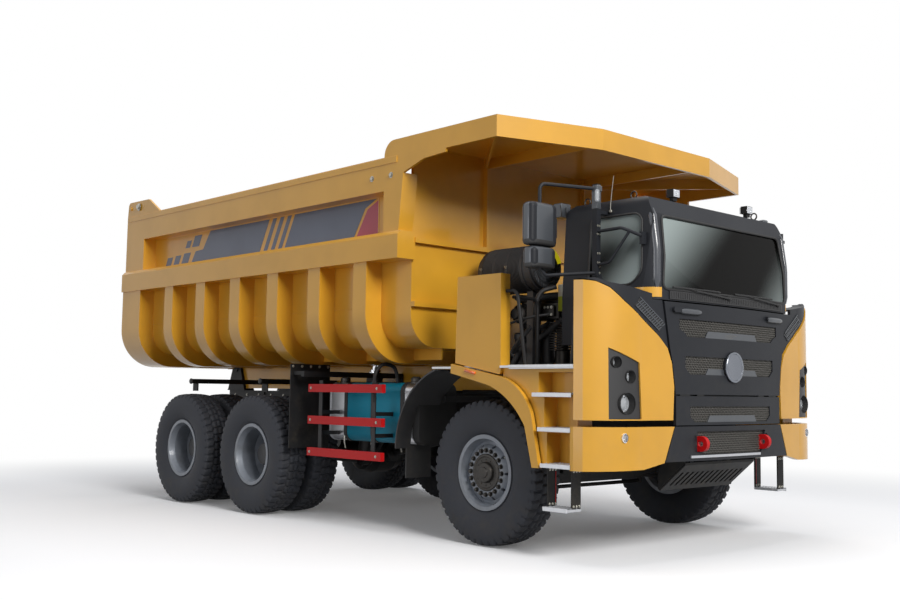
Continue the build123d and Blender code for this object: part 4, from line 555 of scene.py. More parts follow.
# %% Blocks, prisms and turned shapes
def block(low, high, chamfer=0.0):
    """A cuboid whose twelve edges are cut at 45 degrees: each corner splits into three points, one a face."""
    low, high = np.minimum(low, high).astype(float), np.maximum(low, high).astype(float)
    centre, half = (low + high) / 2, (high - low) / 2
    cut = min(chamfer, 0.45 * half.min()) if chamfer else 0.0
    signs = np.array([(x, y, z) for x in (-1, 1) for y in (-1, 1) for z in (-1, 1)], float)
    if not cut:
        return centre + signs * half, [[0, 1, 3, 2], [4, 6, 7, 5], [0, 4, 5, 1], [2, 3, 7, 6], [0, 2, 6, 4],
                                       [1, 5, 7, 3]]
    reach = half - cut * (1 - np.eye(3))
    points = centre + (signs[:, None] * reach[None]).reshape(-1, 3)
    faces = []
    for corner in range(8):
        faces.append([corner * 3, corner * 3 + 1, corner * 3 + 2])
    for axis, bit in enumerate((4, 2, 1)):
        others = [b for b in (4, 2, 1) if b != bit]
        for side in (0, bit):
            loop = [side, side + others[0], side + others[0] + others[1], side + others[1]]
            faces.append([corner * 3 + axis for corner in loop])
        pair = [a for a in range(3) if a != axis]
        for at in (0, others[0], others[1], others[0] + others[1]):
            faces.append([at * 3 + pair[0], (at + bit) * 3 + pair[0], (at + bit) * 3 + pair[1],
                          at * 3 + pair[1]])
    return points, faces


def prism(outline, axis, low, high):
    """A flat outline carried from low to high along x, y or z; its columns are the other axes in order."""
    outline = np.asarray(outline, float)
    rings = np.stack([np.insert(outline, "xyz".index(axis), level, axis=1) for level in (low, high)])
    return loft(rings)


def turned(profile, centre, axis="y", sides=48, closed=False):
    """A profile of (radius, along) points turned about an axis through centre; closed joins its two ends."""
    profile = np.asarray(profile, float)
    a = np.linspace(0, 2 * np.pi, sides, endpoint=False)[:, None]
    radius, along = profile[None, :, 0], profile[None, :, 1]
    level = along + 0 * a
    parts = {"x": (level, radius * np.cos(a), radius * np.sin(a)),
             "y": (radius * np.cos(a), level, radius * np.sin(a)),
             "z": (radius * np.cos(a), radius * np.sin(a), level)}[axis]
    points = np.stack(parts, -1) + np.asarray(centre, float)
    if closed:
        return points.reshape(-1, 3), grid_faces(sides, len(profile), True, True)
    return loft(points.transpose(1, 0, 2))


print("a block with cut edges has", len(block((0, 0, 0), (1, 1, 1), 0.1)[1]), "faces")

# %% [markdown]
# Bolts come in their hundreds, so one is made about +Z at the origin and copied to every place as one array.
# A finished shape then becomes a Blender object that rides on the body it is fixed to. Most pieces sit on the
# chassis, so the body has a default.

# %% Copies, and from a shape to a piece
totals = {}
both_sides = (("left", 1), ("right", -1))
hexagon = np.linspace(0, 2 * np.pi, 6, endpoint=False)


def copies(shape, places, directions=((0, 0, 1),), spin=0.0):
    """The shape, made about +Z at the origin, with +Z turned to each direction and moved to each place."""
    points, faces = shape
    places = np.atleast_2d(np.asarray(places, float))
    z = np.broadcast_to(np.asarray(directions, float), places.shape).copy()
    z /= np.linalg.norm(z, axis=1)[:, None]
    helper = np.where(np.abs(z[:, 2:]) < 0.9, [[0.0, 0, 1]], [[1.0, 0, 0]])
    x = np.cross(helper, z)
    x /= np.linalg.norm(x, axis=1)[:, None]
    y = np.cross(z, x)
    c, s = math.cos(spin), math.sin(spin)
    x, y = c * x + s * y, c * y - s * x
    all_points = places[:, None] + sum(points[None, :, axis, None] * way[:, None]
                                       for axis, way in enumerate((x, y, z)))
    index = np.arange(len(places))[:, None] * len(points)
    by_size = {}
    for face in faces:
        by_size.setdefault(len(face), []).append(face)
    made = []
    for same in by_size.values():
        made += (np.asarray(same)[None] + index[:, :, None]).reshape(-1, len(same[0])).tolist()
    return all_points.reshape(-1, 3), made


def make(name, shape, material, body="chassis", smooth=35.0):
    """A Blender object from a shape: faces turned outward, edges sharper than smooth degrees kept sharp."""
    points, faces = shape
    mesh = bpy.data.meshes.new(name)
    mesh.from_pydata(np.asarray(points, float).tolist(), [], faces)
    work = bmesh.new()
    work.from_mesh(mesh)
    bmesh.ops.recalc_face_normals(work, faces=work.faces)
    work.to_mesh(mesh)
    work.free()
    mesh.polygons.foreach_set("use_smooth", np.ones(len(mesh.polygons), bool))
    mesh.set_sharp_from_angle(angle=math.radians(smooth))
    mesh.materials.append(material)
    piece = bpy.data.objects.new(name, mesh)
    bpy.context.scene.collection.objects.link(piece)
    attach(piece, body)
    totals[name] = sum(len(face) - 2 for face in faces)
    return piece


def bolt(radius, height, washer=1.5):
    """A hex head on a round washer, standing on z = 0: six sides, a chamfered top and a flat disc below."""
    def ring(size, level, angles):
        """A flat ring of points about +Z."""
        return np.stack([size * np.cos(angles), size * np.sin(angles), level + 0 * angles], -1)
    head = loft(np.stack([ring(radius, 0.0, hexagon), ring(radius, 0.8 * height, hexagon),
                          ring(0.8 * radius, height, hexagon)]))
    round_angles = np.linspace(0, 2 * np.pi, 16, endpoint=False)
    disc = loft(np.stack([ring(washer * radius, 0.0, round_angles),
                          ring(washer * radius, 0.2 * height, round_angles)]))
    return stack(disc, head)


print("a bolt has", sum(len(face) - 2 for face in bolt(0.010, 0.010)[1]), "triangles")

# %% [markdown]
# ## Tyres
#
# A mining tyre carries a lug tread on a smooth, bulging carcass. Ten separate tyres could each be sculpted,
# but a tyre is one profile carried round an axle, with a depth taken away wherever a groove runs. So it is a
# surface r(angle, s): s walks across the profile, and the groove mask is a product of waves in the angle and
# across. The blocks are cut by three zigzag grooves that run round, and by cross grooves that reach the
# shoulders.

# %% Tyre surface
tyre_width, tyre_radius, wheel_height = 0.375, 0.675, 0.675
bead_radius, bead_half_width = 0.330, 0.135
lug_count, tread_depth = 46, 0.020
angle_steps = lug_count * 10
tread_half, rib_radii = 0.42 * tyre_width, (0.585, 0.435)
front_x, mid_x, rear_x = 2.560, -0.970, -2.570
front_y, outer_y, inner_y = 1.412, 1.692, 1.252


def carcass_profile(tread_columns=28, wall_columns=9):
    """Half widths and radii from bead to bead: straight bead, wall a parabola in t, bevel, crowned tread."""
    half = tyre_width / 2
    t = np.linspace(0, 1, wall_columns)
    start, middle, end = ((0.41 * tyre_width, bead_radius + 0.042), (half, 0.50),
                          (0.465 * tyre_width, tyre_radius - 0.055))
    wall_y, wall_r = (a * (1 - t) ** 2 + 2 * (2 * b - (a + c) / 2) * t * (1 - t) + c * t ** 2
                      for a, b, c in zip(start, middle, end))
    wall_y = np.minimum(wall_y, half)
    across = np.linspace(tread_half, -tread_half, tread_columns)
    crown = tyre_radius - 0.012 * (across / tread_half) ** 2
    bevel_y = np.linspace(0.463, 0.425, 4) * tyre_width
    bevel_r = np.linspace(tyre_radius - 0.050, tyre_radius - 0.013, 4)
    side_y = np.concatenate([[bead_half_width, bead_half_width + 0.003], wall_y, bevel_y])
    side_r = np.concatenate([[bead_radius, bead_radius + 0.03], wall_r, bevel_r])
    return np.concatenate([side_y, across, -side_y[::-1]]), np.concatenate([side_r, crown, side_r[::-1]])


def pulse(wave, width, edge=0.25):
    """1 in a band about the whole numbers of wave, width wide, and 0 outside, with short sloping edges."""
    gap = np.abs(wave - np.round(wave))
    return np.clip((width / 2 - gap) / (edge * width) + 0.5, 0, 1)


def tyre_shape(x, y, turn=0.0):
    """Points r(a, s) about the axle: the profile's radius less depth x groove, from three kinds of cut."""
    across, radius = carcass_profile()
    a = np.linspace(0, 2 * np.pi, angle_steps, endpoint=False)[:, None]
    lug = a / (2 * np.pi) * lug_count
    u = (across / tread_half)[None, :]
    side = np.where(u > 0, 0.5, 0.0)
    zigzag = 0.10 * np.abs(2 * ((lug + side) - np.floor(lug + side)) - 1)
    outer_cut = pulse(lug + side + 0.28 * np.abs(u), 0.26) * (np.abs(u) > 0.34)
    inner_cut = pulse(lug + 0.5 - 0.35 * u, 0.16) * (np.abs(u) < 0.42)
    ring_cut = (np.exp(-(((np.abs(u) - 0.36 - zigzag) / 0.055) ** 2))
                + 0.8 * np.exp(-(((u + 0.5 * (zigzag - 0.05)) / 0.05) ** 2)))
    groove = np.clip(np.maximum(outer_cut, np.maximum(inner_cut, ring_cut)), 0, 1)
    tread_here = np.clip((radius[None, :] - (tyre_radius - 0.056)) / 0.010, 0, 1)
    rib = sum(0.0022 * np.exp(-((radius[None, :] - at) / 0.006) ** 2) for at in rib_radii)
    r = radius[None, :] - tread_depth * groove * tread_here
    face = np.sign(across)[None, :]
    bulge = face * rib * (np.abs(across)[None, :] > 0.38 * tyre_width)
    points = np.stack([x + r * np.cos(a + turn), y + across[None, :] * (1 - 0 * a) + bulge - 0.0025 * face,
                       wheel_height + r * np.sin(a + turn)], -1)
    return points.reshape(-1, 3), grid_faces(angle_steps, len(across), True, True)


for side, way in both_sides:
    piece = make("tyre_tread_front_" + side, tyre_shape(front_x, way * front_y, 0.3 * way), tyre_rubber,
                 "wheel_front_" + side, smooth=60)
    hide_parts("tyre_front_" + side)
    for axle, x, turn in (("mid", mid_x, 0.1), ("rear", rear_x, 0.9)):
        pair = stack(tyre_shape(x, way * outer_y, turn), tyre_shape(x, way * inner_y, turn + 0.05))
        piece = make(f"tyres_tread_{axle}_{side}", pair, tyre_rubber, f"wheels_{axle}_{side}", smooth=60)
        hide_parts(f"tyres_{axle}_{side}")
print("tyres", sum(count for name, count in totals.items() if "tyre" in name), "triangles")

# %% [markdown]
# ## Wheel furniture
#
# The front wheel shows its hub: a dark turned cover inside a ring of twenty nuts. The rear wheels are dished
# so deep that their nuts sit in shade. Nuts are one hexagon copied round the axle by two cosines, and each
# wheel's copies ride on that wheel, so they turn with it.

# %% Nuts, hub covers and valves
def ring_of_places(x, y, radius, count, turn=0.0):
    """Places round an axle along Y: (x + r cos a, y, z + r sin a) for equal steps of a."""
    a = np.arange(count) * 2 * np.pi / count + turn
    return np.stack([x + radius * np.cos(a), y + 0 * a, wheel_height + radius * np.sin(a)], -1)


hub_profile = [(0.0, -0.02), (0.173, -0.02), (0.173, 0.004), (0.166, 0.012), (0.148, 0.014), (0.140, 0.006),
               (0.098, 0.004), (0.094, 0.026), (0.086, 0.034), (0.052, 0.036), (0.048, 0.044), (0.030, 0.047),
               (0.0, 0.047)]
front_face_y, front_nut_radius, cap_bolt_radius = 1.534, 0.204, 0.118
rear_flange_y, rear_nut_radius = outer_y - 0.22 + 0.042, 0.183
nut_count, wheel_nut = 20, bolt(0.0175, 0.026, 1.35)
valve_stem = pipe([(0, 0, 0), (0, 0, 0.03), (0, 0.012, 0.055)], 0.005, sides=8)
for side, way in both_sides:
    profile = [(radius, way * (front_face_y + level)) for radius, level in hub_profile]
    cover = turned(profile, (front_x, 0, wheel_height), "y", 64)
    cap_places = ring_of_places(front_x, way * (front_face_y + 0.004), cap_bolt_radius, 12)
    cap_bolts = copies(bolt(0.007, 0.006), cap_places, (0, way, 0))
    make("hub_cover_" + side, stack(cover, cap_bolts), dark_steel, "wheel_front_" + side)
    nut_places = ring_of_places(front_x, way * front_face_y, front_nut_radius, nut_count)
    nuts = copies(wheel_nut, nut_places, (0, way, 0))
    make("wheel_nuts_front_" + side, nuts, dark_steel, "wheel_front_" + side)
    stem = copies(valve_stem, ring_of_places(front_x, way * (front_face_y - 0.04), 0.285, 1, 0.5),
                  (0, way, 0))
    make("valve_front_" + side, stem, bolt_steel, "wheel_front_" + side)
    for axle, x in (("mid", mid_x), ("rear", rear_x)):
        nut_places = ring_of_places(x, way * rear_flange_y, rear_nut_radius, nut_count)
        nuts = copies(wheel_nut, nut_places, (0, way, 0))
        stem_place = ring_of_places(x, way * (rear_flange_y + 0.05), 0.278, 1, 1.1)
        stem = copies(valve_stem, stem_place, (0, way, 0))
        make(f"wheel_nuts_{axle}_{side}", stack(nuts, stem), dark_steel, f"wheels_{axle}_{side}")
print("wheel nuts", 6 * nut_count, "of", totals["wheel_nuts_front_left"] // nut_count, "triangles")

# %% [markdown]
# One node holds a rim with its hub and brake drum, and the two have different finishes. Splitting the mesh
# would be one way, but the border is a circle about the axle, so a mask on the distance from it is enough.

# %% Rims with a darker hub and brake drum
def rim_finish(name, x, hub_radius):
    """Grey paint that turns to dark cast iron within hub_radius of the axle, in object coordinates."""
    shader = Shader(name)
    across_x, _, z = shader.axes()
    away_x, away_z = across_x - x, z - wheel_height
    distance = (away_x * away_x + away_z * away_z).math("SQRT")
    hub = 1 - distance.step(hub_radius - 0.003, hub_radius + 0.003)
    broad = shader.noise(6.0, 4.0, 0.6)
    grime = (broad.step(0.45, 0.8) * 0.5 + distance.step(0.28, 0.36) * 0.12).clamped()
    grey = shader.mix(grime, rgb(136, 142, 152), rgb(100, 100, 98))
    tone = shader.mix(hub, grey, rgb(44, 44, 46))
    return shader.finish(color=tone, rough=0.42 + 0.15 * broad, metal=0.2 * (1 - hub), coat=0.25 * (1 - hub),
                         normal=shader.bump(shader.noise(300.0, 1.0), 0.12, 0.0006))


rim_finishes = {"front": rim_finish("rim_front_paint", front_x, 0.150),
                "mid": rim_finish("rim_mid_paint", mid_x, 0.200),
                "rear": rim_finish("rim_rear_paint", rear_x, 0.200)}
for side, _ in both_sides:
    dress("rim_front_" + side, rim_finishes["front"])
    for axle in ("mid", "rear"):
        dress(f"rims_{axle}_{side}", rim_finishes[axle])
print("rim finishes", len(rim_finishes))

# %% [markdown]
# ## Fascia
#
# The front is bowed: seen from above, its face is an arc that runs from shoulder to shoulder, with a tighter
# arc on each wing. Anything laid on it needs the same arcs, so one function gives x for any y, and flat
# patterns are wrapped on the face by replacing x.

# %% The bowed face
def circle_through(a, b, c):
    """Centre and radius of the circle through three points, from the two chords' right bisectors."""
    a, b, c = (np.array(point, float) for point in (a, b, c))
    centre = np.linalg.solve(2 * np.array([b - a, c - a]), [b @ b - a @ a, c @ c - a @ a])
    return centre, np.linalg.norm(a - centre)


face_centre, face_radius = circle_through((4.165, -1.285), (4.230, 0.0), (4.165, 1.285))
wing_centre, wing_radius = circle_through((4.165, 1.285), (4.080, 1.600), (3.930, 1.775))


def bowed(y, inset=0.0):
    """x of the face: cx + sqrt(R^2 - (|y| - cy)^2) on the middle arc, then on the wing's arc."""
    y = np.abs(y)
    middle = face_centre[0] + np.sqrt((face_radius - inset) ** 2 - np.minimum(y, 1.6) ** 2)
    across = np.clip(y - wing_centre[1], 0, 0.999 * (wing_radius - inset))
    wing = wing_centre[0] + np.sqrt((wing_radius - inset) ** 2 - across ** 2)
    return np.where(y < 1.285, middle, wing)


print("the face bows by", round(float(bowed(0.0) - bowed(1.285)), 3), "m to the shoulder")

# %% [markdown]
# The grilles are punched sheet with six-sided holes. A bump or an alpha mask would look flat from close by,
# so it is made as real bars, three short ones to each cell, and bars whose middle falls outside the opening
# are dropped.

# %% Honeycomb on the face
def inside(points, outline):
    """Even-odd test of (y, z) points against an outline: counts the edges that a ray along +y crosses."""
    points, outline = np.asarray(points), np.asarray(outline)
    start, end = outline, np.roll(outline, -1, axis=0)
    y, z = points[:, 0:1], points[:, 1:2]
    crosses = (start[:, 1] > z) != (end[:, 1] > z)
    slope = (end[:, 0] - start[:, 0]) / np.where(end[:, 1] == start[:, 1], 1, end[:, 1] - start[:, 1])
    hit = y < start[:, 0] + (z - start[:, 1]) * slope
    return (crosses & hit).sum(1) % 2 == 1


def bars(starts, ends, inset, thick, deep):
    """Square bars between (y, z) points on the bowed face: four corners at each end, off a unit normal."""
    way = ends - starts
    way /= np.linalg.norm(way, axis=1)[:, None]
    normal = np.stack([-way[:, 1], way[:, 0]], -1) * thick / 2
    corners = []
    for place in (starts, ends):
        for sign, depth in ((1, 0), (1, deep), (-1, deep), (-1, 0)):
            flat = place + sign * normal
            corners.append(np.stack([bowed(flat[:, 0], inset + depth), flat[:, 0], flat[:, 1]], -1))
    points = np.stack(corners, 1)
    faces = np.array([[0, 1, 2, 3], [7, 6, 5, 4], [0, 4, 5, 1], [1, 5, 6, 2], [2, 6, 7, 3], [3, 7, 4, 0]])
    index = np.arange(len(points))[:, None, None] * 8
    return points.reshape(-1, 3), (faces[None] + index).reshape(-1, 4).tolist()


def honeycomb(outline, inset=0.010, cell=0.0135, thick=0.0042, deep=0.005, avoid=None):
    """Six-sided mesh clipped to an outline: cell centres on staggered rows, three bars for each cell."""
    outline = np.asarray(outline)
    low, high = outline.min(0) - cell, outline.max(0) + cell
    step_y, step_z = cell * math.sqrt(3), cell * 1.5
    rows, columns = int((high[1] - low[1]) / step_z) + 2, int((high[0] - low[0]) / step_y) + 2
    i, j = np.meshgrid(np.arange(rows), np.arange(columns), indexing="ij")
    centres = np.stack([low[0] + (j + 0.5 * (i % 2)) * step_y, low[1] + i * step_z], -1).reshape(-1, 2)
    turns = np.radians(60 * np.arange(4) + 30)
    corners = cell * np.stack([np.cos(turns), np.sin(turns)], 1)
    starts = np.concatenate([centres + corner for corner in corners[:3]])
    ends = np.concatenate([centres + corner for corner in corners[1:]])
    middle = (starts + ends) / 2
    keep = inside(middle, outline)
    if avoid is not None:
        keep &= np.hypot(middle[:, 0] - avoid[0], middle[:, 1] - avoid[1]) > avoid[2]
    return bars(starts[keep], ends[keep], inset, thick, deep)


print("bars in a 0.1 m square", len(honeycomb([(0, 1), (0.1, 1), (0.1, 1.1), (0, 1.1)])[0]) // 8)

# %% [markdown]
# Each opening is drawn as its left half and mirrored, so both halves always agree. The mesh stands in the
# opening, a dark sheet close behind it is painted shade that makes the opening read as deep, and a small tab
# sits at each opening's foot.

# %% Grilles of the lid, the nose and the bumper
def whole(half):
    """A left half outline of (y, z) points and its mirror image, as one loop."""
    half = np.asarray(half, float)
    return np.concatenate([half, half[::-1] * (-1, 1)])


def plate_on_face(outline, front, back):
    """An outline carried between two insets of the bowed face, with the outline's own corners as rings."""
    outline = np.asarray(outline, float)
    rings = np.stack([np.stack([bowed(outline[:, 0], inset), outline[:, 0], outline[:, 1]], -1)
                      for inset in (front, back)])
    return loft(rings)


upper_grille = whole([(0.690, 1.925), (0.735, 1.965), (0.800, 1.990), (0.800, 2.080)])
lower_grille = whole([(0.655, 1.595), (0.690, 1.625), (0.720, 1.650), (0.720, 1.755)])
nose_grille = whole([(0.590, 1.175), (0.630, 1.205), (0.655, 1.225), (0.655, 1.315)])
bumper_grille = whole([(0.480, 0.890), (0.560, 1.095)])
badge = (0.0, 1.672, 0.150)
lid_tabs = [whole([(0.345, 1.922), (0.425, 1.926), (0.385, 1.986)]),
            whole([(0.345, 1.592), (0.425, 1.596), (0.385, 1.650)])]
nose_tab = whole([(0.310, 1.172), (0.405, 1.176), (0.365, 1.234)])


def shade_sheet(outline, inset=0.020):
    """A dark sheet close behind the mesh: painted shade, so that the grille reads as deep."""
    return plate_on_face(outline, inset, inset + 0.006)


lid_mesh = make("lid_grille_mesh", stack(honeycomb(upper_grille), honeycomb(lower_grille, avoid=badge)),
                mesh_grey, "front_lid", smooth=60)
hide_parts("lid_grilles")
# The dark sheets behind the grilles are painted shade in the openings, in the black rubber finish.
make("lid_grille_shade_sheet", stack(shade_sheet(upper_grille), shade_sheet(lower_grille)), soft_black, "front_lid")
make("lid_grille_tabs", stack(*(plate_on_face(tab, 0.004, 0.016) for tab in lid_tabs)), mirror_grey,
     "front_lid")
front_mesh = make("nose_and_bumper_mesh", stack(honeycomb(nose_grille), honeycomb(bumper_grille, 0.022)),
                  mesh_grey, smooth=60)
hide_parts("front_grilles")
make("nose_and_bumper_shade_sheet", stack(shade_sheet(nose_grille), shade_sheet(bumper_grille, 0.034)), soft_black)
make("nose_tab", plate_on_face(nose_tab, 0.004, 0.016), mirror_grey)
print("grille mesh", totals["lid_grille_mesh"] + totals["nose_and_bumper_mesh"], "triangles")

# %% [markdown]
# The badge stays a plain disc: a chromed rim about a dished centre, turned about the truck's long axis. With
# it goes the trim that catches the light: a bright strip under the bumper grille, stop blocks below the lid,
# two grips on the lid, and the slanted vents in the shoulder caps.

# %% Badge, strip, stop blocks, grips and vents
disc_profile = [(0.0, 4.248), (0.085, 4.249), (0.118, 4.252), (0.122, 4.258), (0.136, 4.258), (0.143, 4.250),
                (0.143, 4.236), (0.0, 4.236)]
make("badge_blank", turned(disc_profile, (0, badge[0], badge[1]), "x", 72), badge_metal, "front_lid",
     smooth=50)
across = np.linspace(-0.66, 0.45, 15)
strip = np.concatenate([np.stack([across, 0.864 + 0 * across], 1),
                        np.stack([across, 0.886 + 0 * across], 1)[::-1]])
make("bumper_strip", plate_on_face(strip, -0.012, 0.004), tread_steel)
stops = [plate_on_face([(y - w, 1.408), (y + w, 1.408), (y + w, 1.434), (y - w, 1.434)], 0.006, 0.03)
         for y, w in ((-0.72, 0.07), (-0.50, 0.05), (0.50, 0.05), (0.72, 0.07))]
make("lid_stop_blocks", stack(*stops), soft_black)
make("lid_gap_bar", plate_on_face(whole([(0.84, 1.400), (0.84, 1.424)]), 0.022, 0.04), soft_black)
grips = [pipe([(float(bowed(y)) + 0.012, y, 2.148) for y in np.linspace(low, low + 0.28, 9)],
              0.027 * np.sqrt(1 - 0.55 * np.linspace(-1, 1, 9) ** 6), sides=16) for low in (-0.80, 0.60)]
make("lid_handles", stack(*grips), mirror_grey, "front_lid", smooth=50)
vent_corner = np.array([1.065, 1.925])
vent_run, vent_rise = np.array([0.826, 0.563]), np.array([-0.563, 0.826])
vent_rails = (0.035, 0.081, 0.127)


def on_cap(s, t):
    """A (y, z) place on the shoulder cap: corner + s run + t rise."""
    return vent_corner + s * vent_run + t * vent_rise


def vents(way):
    """A ladder of bars on the shoulder cap: two leaning rungs at each s, and rails at three t."""
    s = np.arange(0.0, 0.345, 0.026)[:, None]
    starts = [on_cap(s + 0.030, 0.038), on_cap(s + 0.010, 0.086), [on_cap(0.02, t) for t in vent_rails]]
    ends = [on_cap(s + 0.012, 0.078), on_cap(s - 0.008, 0.124), [on_cap(0.37, t) for t in vent_rails]]
    return bars(np.concatenate(starts) * (way, 1), np.concatenate(ends) * (way, 1), 0.004, 0.008, 0.008)


for side, way in both_sides:
    corners = ((0.01, 0.030), (0.385, 0.030), (0.365, 0.132), (0.0, 0.132))
    outline = np.array([on_cap(s, t) for s, t in corners]) * (way, 1)
    # The dark plate behind the bars is painted shade in the vent openings.
    make("cap_vent_back_" + side, plate_on_face(outline, 0.0095, 0.0125), soft_black)
    make("cap_vents_" + side, vents(way), mirror_grey)
print("vent bars a side", totals["cap_vents_left"] // 12)

# %% [markdown]
# ## Bed
#
# The stripe is film on the bed's side: slate blocks at the rear, two slate bands that carry no words, three
# slanted strips between them, and a maroon end. Each piece is an outline in x and z, and every slanted edge
# leans by the same 0.52 m a metre. Beside it stand the weld beads that join the plates.

# %% Stripe and weld beads
panel_y, rail_y, film_half = 1.780, 1.956, 0.002
band_low, band_high = 3.020, 3.384
lean = 0.52


def slanted(rear, front, low=band_low, high=band_high):
    """A block between two x places at its foot, whose sides lean forward by lean for each metre of height."""
    shift = lean * (high - low)
    return [(rear, low), (front, low), (front + shift, high), (rear + shift, high)]


slate_blocks = [slanted(-2.765, -2.655, 3.215, 3.305), slanted(-2.600, -2.425, 3.215, 3.355),
                slanted(-3.275, -3.140, band_low, 3.125), slanted(-3.070, -2.930, band_low, 3.135),
                slanted(-2.860, -2.690, band_low, 3.150)]
slate_blocks += [slanted(rear, rear + 0.076) for rear in (-0.932, -0.780, -0.632)]
slate_blocks += [[(-2.600, band_low), (-2.504, 3.155), (-2.318, 3.165), (-2.152, band_high),
                  (-0.820, band_high), (-1.012, band_low)],
                 [(-0.496, band_low), (-0.305, band_high), (1.165, band_high), (0.975, 3.304),
                  (0.795, band_low)]]
maroon_end = [(0.838, band_low), (1.015, 3.290), (1.196, 3.368), (1.196, band_low)]
for side, way in both_sides:
    slate, end = ([prism(outline, "y", way * (panel_y - film_half), way * (panel_y + film_half))
                   for outline in outlines] for outlines in (slate_blocks, [maroon_end]))
    make("stripe_slate_" + side, stack(*slate), slate_stripe, "bed")
    make("stripe_maroon_" + side, stack(*end), maroon_stripe, "bed")
    beads = [pipe([(-4.03, way * y, z), (1.20, way * y, z)], radius, sides=8)
             for y, z, radius in ((panel_y, 2.980, 0.007), (panel_y, 3.395, 0.007), (panel_y, 2.262, 0.0045))]
    beads += [pipe([(1.200, way * panel_y, 2.99), (1.200, way * panel_y, 3.39)], 0.007, sides=8)]
    cap = block((-4.02, way * (rail_y - 0.002), 3.662), (1.69, way * (rail_y + 0.007), 3.728), 0.005)
    make("bed_seams_" + side, stack(*beads, cap), body_yellow, "bed")
    heads = copies(bolt(0.020, 0.018), [(1.30, way * rail_y, 3.545), (1.60, way * rail_y, 3.545)],
                   (0, way, 0))
    pins = copies(bolt(0.034, 0.030), [(-3.735, way * 1.966, 3.845)], (0, way, 0))
    make("bed_bolts_" + side, stack(heads, pins), bolt_steel, "bed")
print("stripe blocks a side", len(slate_blocks))

# %% [markdown]
# ## Cab
#
# The windows sit in rubber, and a yellow strip runs below them. Both follow a skin that curves round the
# corners, so the skin is known by two formulas, the side's y and the front's x, and what lies on it takes its
# missing coordinate from them.

# %% The cab's skin, and rubber that follows it
def cab_side_y(x, z):
    """Half width at (x, z): the lesser of the leaning side and the arc that rounds the front corner."""
    leaning = 1.130 - 0.060 * np.clip((z - 2.300) / 0.870, 0, 1)
    centre, radius = circle_through((3.980, 1.130), (4.090, 1.112), (4.180, 1.030))
    across = np.clip(x - centre[0], 0, 0.99 * radius)
    rounded_y = np.where(x > 3.980, centre[1] + np.sqrt(radius ** 2 - across ** 2), 1.130)
    return np.minimum(leaning, rounded_y)


def cab_front_x(y, z):
    """x of the front at (y, z): the lesser of the sloping windscreen plane and the bow 0.05 (y / 1.03)^2."""
    return np.minimum(4.230 - np.maximum(z - 2.300, 0) / 7.0, 4.230 - 0.05 * (y / 1.030) ** 2)


def loop_pipe(path, radius, sides=8):
    """A round bar along a closed path, with normals worked out from the loop's own flat direction."""
    tangent = np.roll(path, -1, axis=0) - np.roll(path, 1, axis=0)
    tangent /= np.linalg.norm(tangent, axis=1)[:, None]
    flat = np.linalg.svd(path - path.mean(0))[2][-1]
    first = flat - (tangent @ flat)[:, None] * tangent
    first /= np.linalg.norm(first, axis=1)[:, None]
    second = np.cross(tangent, first)
    a = np.linspace(0, 2 * np.pi, sides, endpoint=False)
    points = path[:, None] + radius * (np.cos(a)[None, :, None] * first[:, None]
                                       + np.sin(a)[None, :, None] * second[:, None])
    return points.reshape(-1, 3), grid_faces(len(path), sides, True, True)


def rounded_loop(outline, radius, spacing=0.03):
    """A closed outline with round corners, resampled at even spacing so that it can follow a curved skin."""
    outline = np.asarray(outline, float)
    start = (outline[0] + outline[-1]) / 2
    path = rounded(np.concatenate([[start], outline, [start]]), radius, 8)
    along = np.concatenate([[0], np.cumsum(np.linalg.norm(np.diff(path, axis=0), axis=1))])
    s = np.linspace(0, along[-1], int(along[-1] / spacing), endpoint=False)
    return np.stack([np.interp(s, along, path[:, axis]) for axis in (0, 1)], 1)


side_window = [(3.440, 2.375), (3.930, 2.375), (4.040, 2.480), (4.020, 2.960), (3.960, 3.010), (3.440, 3.010)]
screen = [(-1.010, 2.330), (1.010, 2.330), (0.965, 2.985), (-0.965, 2.985)]
for side, way in both_sides:
    body = "door_left" if side == "left" else "chassis"
    loop = rounded_loop(side_window, 0.06)
    path = np.stack([loop[:, 0], way * (cab_side_y(loop[:, 0], loop[:, 1]) + 0.001), loop[:, 1]], 1)
    make("window_seal_" + side, loop_pipe(path, 0.010), soft_black, body, smooth=60)
loop = rounded_loop(screen, 0.06)
path = np.stack([cab_front_x(loop[:, 0], loop[:, 1]) + 0.001, loop[:, 0], loop[:, 1]], 1)
make("windscreen_seal", loop_pipe(path, 0.012), soft_black, smooth=60)


def skin_strip(xs, way, low, high, proud, sunk=0.004):
    """A plate of even thickness on the cab's side, between two heights: four corners at each x."""
    corners = ((low, -sunk), (low, proud), (high, proud), (high, -sunk))
    return loft(np.array([[(x, way * (cab_side_y(x, level) + out), level) for level, out in corners]
                          for x in xs]))


make("cab_strip_right", skin_strip(np.linspace(3.450, 4.182, 40), -1, 2.256, 2.342, 0.006), strip_yellow)
make("cab_strip_left", skin_strip(np.linspace(3.795, 4.182, 26), 1, 2.256, 2.322, 0.006), strip_yellow)
print("seals", totals["window_seal_left"] + totals["window_seal_right"] + totals["windscreen_seal"],
      "triangles")

# %% [markdown]
# Below the windscreen runs a grating of black slats, and two wipers rest on the glass above it. Each wiper is
# an arm, a blade and the short link between them, all on the same front formula, and a nut where the arm
# turns.

